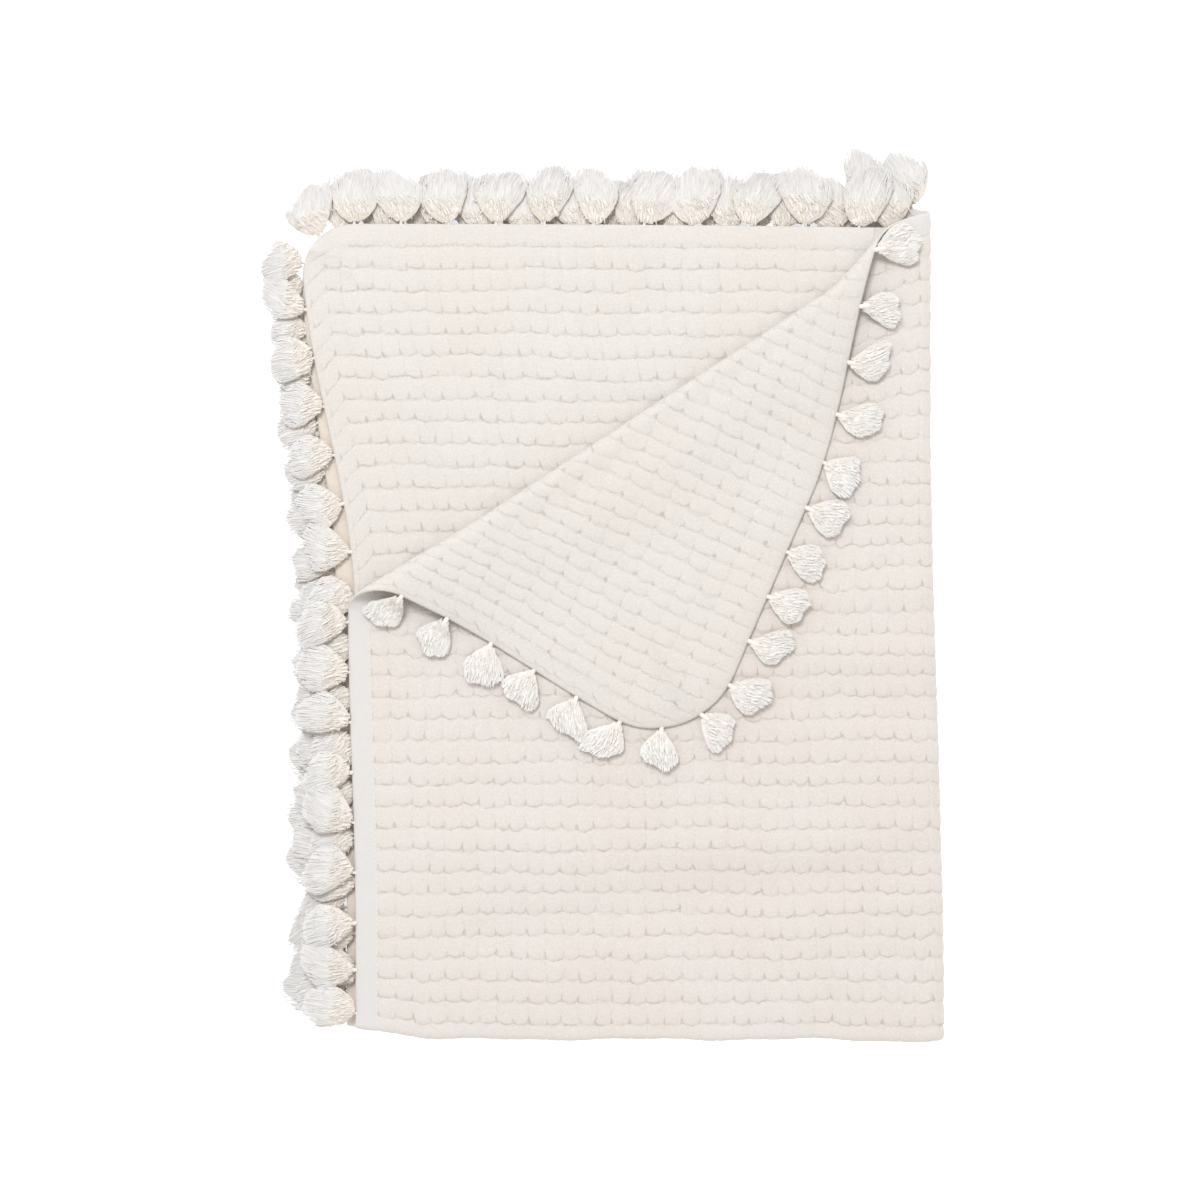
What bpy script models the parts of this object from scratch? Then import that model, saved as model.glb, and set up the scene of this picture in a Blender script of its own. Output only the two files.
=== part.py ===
"""A waffle-weave baby blanket with a tasselled hem, folded in quarters, its top corner turned back.

The cloth is worked out flat first. A point of it has three numbers: a, across from the left hem of
the top layer, b, along from the top hem of the second layer, and w, its height above the cloth's
middle. Folding then takes each point to its place: round the bottom fold, round the right fold, and
over the slanting crease where the top layer's corner is turned back.
Layer 1 is the top one and layer 4 lies on the floor. Sizes are in metres and +Z is up.
"""

import math
import random
from collections import namedtuple

import bmesh
import bpy
from mathutils import Quaternion, Vector

# The cloth as it was woven and hemmed
CLOTH_WIDTH = 0.746
CLOTH_LENGTH = 1.027
CLOTH_THICK = 0.0030
HEM_THICK = 0.0016
HEM_WIDTH = 0.0145
HEM_STEP = 0.0015
CORNER_RADIUS = 0.034
FLAP_CORNER_RADIUS = 0.058
CORNER_CUTS = (0.024, 0.034, 0.045)

# The quarter fold
LAYER_PITCH = 0.0040
SIDE_FOLD = 0.370
END_FOLD = 0.5105
STACK_MIDDLE = 1.5 * LAYER_PITCH + CLOTH_THICK / 2
END_RADIUS = LAYER_PITCH / 2
SIDE_RADIUS = LAYER_PITCH
LEFT_HEM_X = -0.1513
BOTTOM_Y = -0.2694
ORIGIN = (0.002695, 0.009359)

# The corner that is turned back
CREASE_START = 0.7773
CREASE_ANGLE = math.radians(32.8)
ROLL_OPEN_RADIUS = 0.0078
ROLL_RADIUS = 0.0050
ROLL_TAPER = 0.120
SETTLE_LENGTH = 0.075
CREASE_ALONG = (math.cos(CREASE_ANGLE), math.sin(CREASE_ANGLE))
CREASE_OUT = (-math.sin(CREASE_ANGLE), math.cos(CREASE_ANGLE))

# Where the top hem is drawn down beside the right fold
DIP_DEPTH = 0.022
DIP_START = 0.180
DIP_DEEPEST = 0.340
DIP_END = 0.420
DIP_REACH = 0.200

# Where the side hem is drawn in, beyond the open end of the crease
TUCK_DEPTH = 0.013
TUCK_START = 0.782
TUCK_FULL = 0.822
TUCK_FADE = 0.842
TUCK_END = 0.992
TUCK_REACH = 0.120

# How far each layer has slid: its top left corner to the left and down, the middle of its left side
# to the left, and its top right corner up
Slide = namedtuple("Slide", "corner_left corner_down side_left corner_up")
SLIDES = {
    1: Slide(corner_left=0.000, corner_down=0.000, side_left=0.0047, corner_up=0.020),
    2: Slide(corner_left=0.033, corner_down=-0.003, side_left=0.0010, corner_up=0.000),
    3: Slide(corner_left=0.022, corner_down=0.002, side_left=0.0066, corner_up=0.000),
    4: Slide(corner_left=0.014, corner_down=0.009, side_left=0.0040, corner_up=0.020),
}
CORNER_FROM_Y = 0.000
CORNER_FULL_Y = 0.225
SIDE_FROM_Y = -0.200
SIDE_FULL_Y = 0.000
RISE_FROM = (0.150, 0.080)
RISE_SPAN = (0.055, 0.130)
TAPER_RIGHT = 0.0085
TAPER_FROM_Y = -0.265
TAPER_FULL_Y = 0.135

# The soft unevenness of the layers: how much it lifts them, and its waves for each metre
LOFT = 0.045
LOFT_WAVES = ((21.0, 4.0, 0.6), (-5.0, 17.0, 1.1))

# The tassels
TASSEL_SWING = math.radians(6)
TASSEL_SPREAD = 0.05
EDGE_GAP = 0.0003
CORD_DEPTH = 0.0022
CORD_THICK = 0.0014
ROOT_WIDTH = 0.0024
Ring = namedtuple("Ring", "out base crown tall")
TASSEL_RINGS = (
    Ring(out=0.0035, base=0.0028, crown=0.0022, tall=0.30),
    Ring(out=0.0070, base=0.0085, crown=0.0050, tall=0.90),
    Ring(out=0.0110, base=0.0070, crown=0.0045, tall=0.72),
    Ring(out=0.0190, base=0.0185, crown=0.0115, tall=1.00),
    Ring(out=0.0280, base=0.0230, crown=0.0145, tall=0.95),
    Ring(out=0.0345, base=0.0170, crown=0.0110, tall=0.55),
)
DROP_LENGTH = 0.014

# Each cord of tassels: the hem it follows, its reach along that hem, its first tassel and the
# distance to the next, the height of what its tassels lie on, how tall they lie, and how long its
# first and last tassels are beside the full length above
Row = namedtuple("Row", "name hem start stop first pitch bed tall long_first long_last")
ROWS = (
    Row("tassels_left_1", "near", 0.5170, 0.7765, 0.5210, 0.0315, 0.0132, 0.0058, 0.98, 0.90),
    Row("tassels_flap_lower", "near", 0.8130, 1.0120, 0.8230, 0.0300, 0.0154, 0.0062, 0.80, 0.80),
    Row("tassels_flap_right", "head", 0.0120, 0.3300, 0.0200, 0.0306, 0.0154, 0.0062, 0.80, 0.84),
    Row("tassels_left_2", "near", 0.0090, 0.5020, 0.0240, 0.0300, 0.0088, 0.0040, 0.80, 0.88),
    Row("tassels_top_2", "foot", 0.0010, 0.3560, 0.0035, 0.0300, 0.0088, 0.0040, 0.86, 0.90),
    Row("tassels_left_3", "far", 0.0120, 0.5020, 0.0310, 0.0300, 0.0044, 0.0040, 0.66, 0.98),
    Row("tassels_top_3", "foot", 0.3840, 0.7330, 0.3920, 0.0300, 0.0044, 0.0040, 0.96, 0.86),
    Row("tassels_left_4", "far", 0.5190, 1.0150, 0.5330, 0.0300, 0.0000, 0.0040, 1.12, 0.74),
    Row("tassels_top_4", "head", 0.3780, 0.7330, 0.3800, 0.0300, 0.0000, 0.0040, 0.96, 0.90),
)

# How finely the cloth is cut into faces
FLAT_STEP = 0.041
SIDE_FOLD_FACES = 8
END_FOLD_FACES = 6
ROLL_STEP = 0.0027
ROLL_CUTS = 11
SETTLE_CUTS = (0.037, 0.048, 0.064, 0.084)

CLOTH_COLOUR = (0.84, 0.79, 0.72)
TASSEL_COLOUR = (0.87, 0.84, 0.79)


def smooth(t):
    """0 below 0, 1 above 1, and a soft step between them."""
    t = min(max(t, 0.0), 1.0)
    return t * t * (3.0 - 2.0 * t)


def rounded(a, b):
    """A point of the flat cloth, drawn in towards the middle where a corner is rounded."""
    half_a, half_b = CLOTH_WIDTH / 2, CLOTH_LENGTH / 2
    radius = FLAP_CORNER_RADIUS if a < half_a and b > half_b else CORNER_RADIUS
    over_a = abs(a - half_a) - half_a + radius
    over_b = abs(b - half_b) - half_b + radius
    if over_a <= 0.0 or over_b <= 0.0:
        return a, b
    pull = 1.0 - max(over_a, over_b) / math.hypot(over_a, over_b)
    return (
        a - math.copysign(over_a * pull, a - half_a),
        b - math.copysign(over_b * pull, b - half_b),
    )


def rise(value, start, stop):
    """A soft step from 0 at start to 1 at stop."""
    return smooth((value - start) / (stop - start))


def shaped(a, b):
    """A point of the flat cloth once its corner is rounded and its hems are drawn in."""
    a, b = rounded(a, b)
    dip = rise(a, DIP_START, DIP_DEEPEST) - rise(a, DIP_DEEPEST, DIP_END)
    dip *= rise(b, CLOTH_LENGTH - DIP_REACH, CLOTH_LENGTH)
    tuck = rise(b, TUCK_START, TUCK_FULL) - rise(b, TUCK_FADE, TUCK_END)
    tuck *= 1.0 - rise(a, 0.0, TUCK_REACH)
    return a + TUCK_DEPTH * tuck, b - DIP_DEPTH * dip


def layer_of(a, b):
    """The number of the layer that a point of the cloth lies in."""
    if a < SIDE_FOLD:
        return 1 if b > END_FOLD else 2
    return 4 if b > END_FOLD else 3


def turned_back(a, b, w):
    """A point of layer 1 after its corner is rolled over the crease: a, b and its height."""
    past = a * CREASE_OUT[0] + (b - CREASE_START) * CREASE_OUT[1]
    if past <= 0.0:
        return a, b, w
    along = a * CREASE_ALONG[0] + (b - CREASE_START) * CREASE_ALONG[1]
    radius = ROLL_OPEN_RADIUS + (ROLL_RADIUS - ROLL_OPEN_RADIUS) * smooth(along / ROLL_TAPER)
    turn = min(past / radius, math.pi)
    rest = past - turn * radius
    out = (radius - w) * math.sin(turn) - rest
    height = radius - (radius - w) * math.cos(turn)
    height -= (2.0 * radius - LAYER_PITCH) * smooth(rest / SETTLE_LENGTH)
    return a + CREASE_OUT[0] * (out - past), b + CREASE_OUT[1] * (out - past), height


def folded(a, b, w):
    """A point of the flat cloth after the bottom fold, the right fold and the crease."""
    if layer_of(a, b) == 1:
        a, b, w = turned_back(a, b, w)
    past_end = b - END_FOLD
    turn = min(max(past_end / END_RADIUS, -math.pi / 2), math.pi / 2)
    beyond = abs(past_end) - abs(turn) * END_RADIUS
    y = BOTTOM_Y + END_RADIUS - (END_RADIUS + w) * math.cos(turn) + beyond
    offset = (END_RADIUS + w) * math.sin(turn)
    past_side = a - SIDE_FOLD
    turn = min(max(past_side / SIDE_RADIUS, -math.pi / 2), math.pi / 2)
    beyond = abs(past_side) - abs(turn) * SIDE_RADIUS
    straight = SIDE_FOLD - math.pi / 2 * SIDE_RADIUS
    x = LEFT_HEM_X + straight + (SIDE_RADIUS + offset) * math.cos(turn) - beyond
    return x, y, STACK_MIDDLE - (SIDE_RADIUS + offset) * math.sin(turn)


def slid(x, y, layer):
    """A point of the folded stack after its layer has slid, and the stack has spread at the foot."""
    slide = SLIDES[layer]
    share = (x - LEFT_HEM_X) / SIDE_FOLD
    corner = rise(y, CORNER_FROM_Y, CORNER_FULL_Y) * (1.0 - max(share, 0.0) ** 3)
    side = rise(y, SIDE_FROM_Y, SIDE_FULL_Y) * (1.0 - share)
    taper = rise(y, TAPER_FROM_Y, TAPER_FULL_Y) * share
    up = smooth((x - RISE_FROM[0]) / RISE_SPAN[0]) * smooth((y - RISE_FROM[1]) / RISE_SPAN[1])
    return (
        x - slide.corner_left * corner - slide.side_left * side - TAPER_RIGHT * taper,
        y - slide.corner_down * corner + slide.corner_up * up,
    )


def lofted(x, y, z):
    """The height after the soft unevenness of layers that don't lie dead flat."""
    wave = math.prod(math.sin(u * x + v * y + start) for u, v, start in LOFT_WAVES)
    return z * (1.0 + LOFT * (1.0 + wave))


def settled(a, b, w):
    """Where a point of the shaped cloth ends up when it is folded and has slid."""
    x, y, z = folded(a, b, w)
    x, y = slid(x, y, layer_of(a, b))
    return Vector((x - ORIGIN[0], y - ORIGIN[1], lofted(x, y, z)))


def even(start, stop, step):
    """Evenly spaced places from start up to, and not at, stop."""
    count = max(1, round((stop - start) / step))
    return [start + (stop - start) * i / count for i in range(count)]


def cut_lines(size, fold, radius, faces):
    """Where the cloth is cut into faces along one of its sides: finely at its hems and its fold."""
    bend = math.pi / 2 * radius
    corner = [0.0, HEM_WIDTH, HEM_WIDTH + HEM_STEP, *CORNER_CUTS]
    lines = corner + even(FLAP_CORNER_RADIUS, fold - bend, FLAT_STEP)
    lines += [fold + bend * (2.0 * i / faces - 1.0) for i in range(faces)]
    lines += even(fold + bend, size - FLAP_CORNER_RADIUS, FLAT_STEP) + [size - FLAP_CORNER_RADIUS]
    return lines + [size - line for line in reversed(corner)]


def thickness(a, b):
    """The cloth's thickness: thin at its hem, full inside it."""
    edge = min(a, CLOTH_WIDTH - a, b, CLOTH_LENGTH - b)
    return HEM_THICK if edge < HEM_WIDTH + HEM_STEP / 2 else CLOTH_THICK


def finish_mesh(bm, name, colour, roughness):
    """Makes the object of a finished bmesh, with its own material."""
    bmesh.ops.recalc_face_normals(bm, faces=bm.faces)
    mesh = bpy.data.meshes.new(name)
    bm.to_mesh(mesh)
    bm.free()
    mesh.shade_smooth()
    mesh.set_sharp_from_angle(angle=math.radians(40))
    material = bpy.data.materials.new(name)
    material.use_nodes = True
    shader = material.node_tree.nodes["Principled BSDF"]
    shader.inputs["Base Color"].default_value = (*colour, 1.0)
    shader.inputs["Roughness"].default_value = roughness
    shader.inputs["Metallic"].default_value = 0.0
    mesh.materials.append(material)
    obj = bpy.data.objects.new(name, mesh)
    bpy.context.scene.collection.objects.link(obj)
    return obj


def flat_cloth():
    """The flat cloth as a thin closed plate, its corners rounded and its hems drawn in."""
    a_lines = cut_lines(CLOTH_WIDTH, SIDE_FOLD, SIDE_RADIUS, SIDE_FOLD_FACES)
    b_lines = cut_lines(CLOTH_LENGTH, END_FOLD, END_RADIUS, END_FOLD_FACES)
    bm = bmesh.new()
    sides = []
    for side in (-0.5, 0.5):
        grid = []
        for b in b_lines:
            row = []
            for a in a_lines:
                w = side * thickness(a, b)
                row.append(bm.verts.new((*shaped(a, b), w)))
            grid.append(row)
        sides.append(grid)
    for grid in sides:
        for low, high in zip(grid, grid[1:]):
            for i in range(len(low) - 1):
                bm.faces.new((low[i], low[i + 1], high[i + 1], high[i]))
    back, face = sides
    for pick in (
        lambda grid: grid[0],
        lambda grid: [row[-1] for row in grid],
        lambda grid: grid[-1][::-1],
        lambda grid: [row[0] for row in grid][::-1],
    ):
        low, high = pick(back), pick(face)
        for i in range(len(low) - 1):
            bm.faces.new((low[i], low[i + 1], high[i + 1], high[i]))
    return bm


def crease_cuts():
    """How far beyond the crease the cloth is cut, so that its roll is round."""
    return [i * ROLL_STEP for i in range(ROLL_CUTS + 1)] + list(SETTLE_CUTS)


def cut_along_crease(bm):
    """Cuts layer 1 along lines beside the crease."""
    for cut in crease_cuts():
        near = [
            face
            for face in bm.faces
            if face.calc_center_median().x < SIDE_FOLD - 2.0 * SIDE_RADIUS
            and face.calc_center_median().y > END_FOLD + 2.0 * END_RADIUS
        ]
        geometry = near + list({edge for face in near for edge in face.edges})
        geometry += list({vert for face in near for vert in face.verts})
        at = (CREASE_OUT[0] * cut, CREASE_START + CREASE_OUT[1] * cut, 0.0)
        bmesh.ops.bisect_plane(
            bm, geom=geometry, dist=1e-6, plane_co=at, plane_no=(*CREASE_OUT, 0.0)
        )
    bmesh.ops.triangulate(bm, faces=bm.faces)


def make_cloth():
    """The folded blanket: one sheet in four layers, with its turned-back corner."""
    bm = flat_cloth()
    cut_along_crease(bm)
    for vert in bm.verts:
        vert.co = settled(*vert.co)
    return finish_mesh(bm, "blanket", CLOTH_COLOUR, 0.95)


def hem_cuts():
    """Where the flat cloth is cut along each of its four hems."""
    across = cut_lines(CLOTH_WIDTH, SIDE_FOLD, SIDE_RADIUS, SIDE_FOLD_FACES)
    along = cut_lines(CLOTH_LENGTH, END_FOLD, END_RADIUS, END_FOLD_FACES)
    return {"near": along, "far": along, "foot": across, "head": across}


def at_hem(hem, along, out):
    """The flat place that lies this far along a hem and this far outside it."""
    return {
        "near": (-out, along),
        "far": (CLOTH_WIDTH + out, along),
        "foot": (along, -out),
        "head": (along, CLOTH_LENGTH + out),
    }[hem]


def between(places, along):
    """The neighbouring places that this one lies between, and its share of the way."""
    for low, high in zip(places, places[1:]):
        if along <= high:
            return low, high, (along - low) / (high - low)
    return places[-2], places[-1], 1.0


def flat_hem(hem, along, out):
    """A place beside a hem, on the straight line between the cuts of the flat cloth."""
    low, high, share = between(HEM_CUTS[hem], along)
    here = shaped(*at_hem(hem, low, out))
    there = shaped(*at_hem(hem, high, out))
    return tuple(p + (q - p) * share for p, q in zip(here, there))


def hem_corners(hem):
    """Where the cloth's hem has its corners, with those that the cuts beside the crease add."""
    found = set(HEM_CUTS[hem])
    if hem not in ("near", "head"):
        return sorted(found)
    for low, high in zip(HEM_CUTS[hem], HEM_CUTS[hem][1:]):
        ends = [flat_hem(hem, along, 0.0) for along in (low, high)]
        if {layer_of(*end) for end in ends} != {1}:
            continue
        past = [a * CREASE_OUT[0] + (b - CREASE_START) * CREASE_OUT[1] for a, b in ends]
        for cut in crease_cuts():
            if (past[0] - cut) * (past[1] - cut) < 0.0:
                found.add(low + (high - low) * (cut - past[0]) / (past[1] - past[0]))
    return sorted(found)


def beside_hem(hem, along, out, w):
    """Where a place beside a hem ends up, along the straight edge between the hem's corners."""
    low, high, share = between(HEM_CORNERS[hem], along)
    ends = [settled(*flat_hem(hem, place, out), w) for place in (low, high)]
    return ends[0].lerp(ends[1], share)


def cord_section(row, along):
    """The four corners of the hem cord at one place: inner low, outer low, outer high, inner high."""
    inner, outer = EDGE_GAP, EDGE_GAP + CORD_DEPTH
    low, high = -CORD_THICK / 2, CORD_THICK / 2
    around = ((inner, low), (outer, low), (outer, high), (inner, high))
    corners = [beside_hem(row.hem, along, out, w) for out, w in around]
    if corners[2].z < corners[1].z:
        corners = [corners[3], corners[2], corners[1], corners[0]]
    return corners


def level(vector):
    """The direction of a vector as seen from above."""
    return Vector((vector.x, vector.y, 0.0)).normalized()


def tassel_rings(row, here, there, swing, length):
    """The rings of one tassel, from its root between two sections of the cord to its tip."""
    middle = (here[1] + there[1]) / 2
    out = level(middle - (here[0] + there[0]) / 2)
    out.rotate(Quaternion((0.0, 0.0, 1.0), swing))
    side = Vector((-out.y, out.x, 0.0))
    if side.dot(there[1] - here[1]) < 0.0:
        side.negate()
    rings = []
    for ring in TASSEL_RINGS:
        centre = middle + out * (ring.out * length)
        loft = lofted(centre.x + ORIGIN[0], centre.y + ORIGIN[1], 1.0)
        floor = middle.z + (row.bed * loft - middle.z) * smooth(ring.out / DROP_LENGTH)
        top = floor + row.tall * ring.tall * loft
        rings.append(
            [
                Vector((*(centre + side * offset).xy, height))
                for offset, height in (
                    (-ring.base / 2, floor),
                    (ring.base / 2, floor),
                    (ring.crown / 2, top),
                    (-ring.crown / 2, top),
                )
            ]
        )
    return rings


def cord_places(row):
    """The places of a cord's sections, and which of them begin the root of a tassel."""
    count = int((row.stop - ROOT_WIDTH - row.first) / row.pitch) + 1
    roots = [row.first + i * row.pitch - ROOT_WIDTH / 2 for i in range(count)]
    places = [row.start, row.stop] + roots + [root + ROOT_WIDTH for root in roots]
    for corner in HEM_CORNERS[row.hem]:
        apart = min(abs(corner - place) for place in places)
        inside_root = any(root < corner < root + ROOT_WIDTH for root in roots)
        if row.start < corner < row.stop and apart > ROOT_WIDTH / 4 and not inside_root:
            places.append(corner)
    return sorted(places), set(roots)


def make_row(row, luck):
    """One cord along a hem with its tassels, which stand apart from each other."""
    places, roots = cord_places(row)
    bm = bmesh.new()
    sections = [[bm.verts.new(p) for p in cord_section(row, along)] for along in places]
    for place, here, there in zip(places, sections, sections[1:]):
        root = (here[1], there[1], there[2], here[2])
        bm.faces.new((here[0], there[0], there[1], here[1]))
        bm.faces.new((here[2], there[2], there[3], here[3]))
        bm.faces.new((here[3], there[3], there[0], here[0]))
        if place not in roots:
            bm.faces.new(root)
            continue
        swing = luck.uniform(-TASSEL_SWING, TASSEL_SWING)
        share = (place - row.start) / (row.stop - row.start)
        length = row.long_first + (row.long_last - row.long_first) * share
        length *= 1.0 + luck.uniform(-TASSEL_SPREAD, TASSEL_SPREAD)
        ends = [[v.co.copy() for v in section] for section in (here, there)]
        rings = tassel_rings(row, *ends, swing, length)
        lower = list(root)
        for ring in rings:
            upper = [bm.verts.new(p) for p in ring]
            for j in range(4):
                k = (j + 1) % 4
                bm.faces.new((lower[j], lower[k], upper[k], upper[j]))
            lower = upper
        bm.faces.new(lower)
    bm.faces.new(sections[0])
    bm.faces.new(sections[-1][::-1])
    return finish_mesh(bm, row.name, TASSEL_COLOUR, 0.9)


HEM_CUTS = hem_cuts()
HEM_CORNERS = {hem: hem_corners(hem) for hem in HEM_CUTS}


def main():
    """Clears the scene and makes the cloth and its rows of tassels."""
    for obj in list(bpy.data.objects):
        bpy.data.objects.remove(obj)
    make_cloth()
    luck = random.Random(7)
    for row in ROWS:
        make_row(row, luck)


main()
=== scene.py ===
"""A waffle-weave baby blanket as it looks, folded in quarters with its top corner turned back.

The cloth is worked out flat first, as rows of puffed cells inside a plain hem, and is then folded
over the same folds as its solid. Flat places have three numbers: a, across from the left hem of
the top layer, b, along from the top hem of the second layer, and w, the height above the cloth's
middle. Sizes are in metres, angles in radians, and +Z is up.
"""

import logging
import math
import random
from dataclasses import dataclass
from enum import Enum
from typing import Any, Sequence

import bpy
import numpy as np
from bpy.types import Material, Mesh, Node, NodeSocket, NodeTree, Object
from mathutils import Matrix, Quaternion, Vector


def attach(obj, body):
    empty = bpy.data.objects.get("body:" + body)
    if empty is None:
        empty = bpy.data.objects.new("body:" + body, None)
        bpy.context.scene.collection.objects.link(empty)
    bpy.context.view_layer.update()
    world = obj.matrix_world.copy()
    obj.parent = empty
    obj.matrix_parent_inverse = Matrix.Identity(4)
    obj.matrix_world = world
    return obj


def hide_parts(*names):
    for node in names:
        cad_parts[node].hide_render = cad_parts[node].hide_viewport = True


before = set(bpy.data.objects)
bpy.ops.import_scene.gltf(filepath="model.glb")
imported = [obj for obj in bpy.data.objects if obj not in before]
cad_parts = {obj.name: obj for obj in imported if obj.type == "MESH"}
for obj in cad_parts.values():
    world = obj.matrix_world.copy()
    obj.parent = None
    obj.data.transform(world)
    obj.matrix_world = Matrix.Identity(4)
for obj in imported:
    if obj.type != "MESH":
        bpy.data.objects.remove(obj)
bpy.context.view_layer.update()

LOG = logging.getLogger("baby_blanket")
Array = np.ndarray
Pair = tuple[float, float]
Triple = tuple[float, float, float]
TINY = 1e-9
ROW_STRIDE = 97.0


class Face(Enum):
    """The two faces of the cloth."""

    FRONT = 1
    BACK = -1


class Hem(Enum):
    """The four hems of the flat cloth."""

    NEAR = "near"
    FAR = "far"
    FOOT = "foot"
    HEAD = "head"


def soft_step(value: Array, start: float, stop: float) -> Array:
    """A soft step from 0 at start to 1 at stop, for each number."""
    share = np.clip((value - start) / (stop - start), 0.0, 1.0)
    return share * share * (3.0 - 2.0 * share)


class Term:
    """A number that changes over a geometry or a surface, as the nodes of a tree work it out."""

    def __init__(self, graph: "NodeGraph", socket: NodeSocket) -> None:
        """Holds the socket that gives the number."""
        self.graph = graph
        self.socket = socket

    def __add__(self, other: Any) -> "Term":
        """The sum."""
        return self.graph.math("ADD", self, other)

    def __sub__(self, other: Any) -> "Term":
        """The difference."""
        return self.graph.math("SUBTRACT", self, other)

    def __rsub__(self, other: Any) -> "Term":
        """The difference from a plain number."""
        return self.graph.math("SUBTRACT", other, self)

    def __mul__(self, other: Any) -> "Term":
        """The product."""
        return self.graph.math("MULTIPLY", self, other)

    def __truediv__(self, other: Any) -> "Term":
        """The quotient."""
        return self.graph.math("DIVIDE", self, other)

    def __pow__(self, other: Any) -> "Term":
        """The power."""
        return self.graph.math("POWER", self, other)

    __radd__ = __add__
    __rmul__ = __mul__

    def size(self) -> "Term":
        """The number without its sign."""
        return self.graph.math("ABSOLUTE", self)

    def part(self) -> "Term":
        """What is left after the whole number below it is taken away."""
        return self.graph.math("FRACT", self)

    def whole(self) -> "Term":
        """The whole number below it."""
        return self.graph.math("FLOOR", self)

    def sine(self) -> "Term":
        """Its sine."""
        return self.graph.math("SINE", self)

    def at_most(self, limit: Any) -> "Term":
        """The smaller of the number and the limit."""
        return self.graph.math("MINIMUM", self, limit)

    def at_least(self, limit: Any) -> "Term":
        """The larger of the number and the limit."""
        return self.graph.math("MAXIMUM", self, limit)

    def step(self, start: Any, stop: Any) -> "Term":
        """A soft step.

        Args:
            start: where it is 0.
            stop: where it is 1.

        Returns:
            The step's height.
        """
        node = self.graph.put(
            "ShaderNodeMapRange",
            {"Value": self, "From Min": start, "From Max": stop},
            interpolation_type="SMOOTHSTEP",
        )
        return Term(self.graph, node.outputs["Result"])


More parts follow.
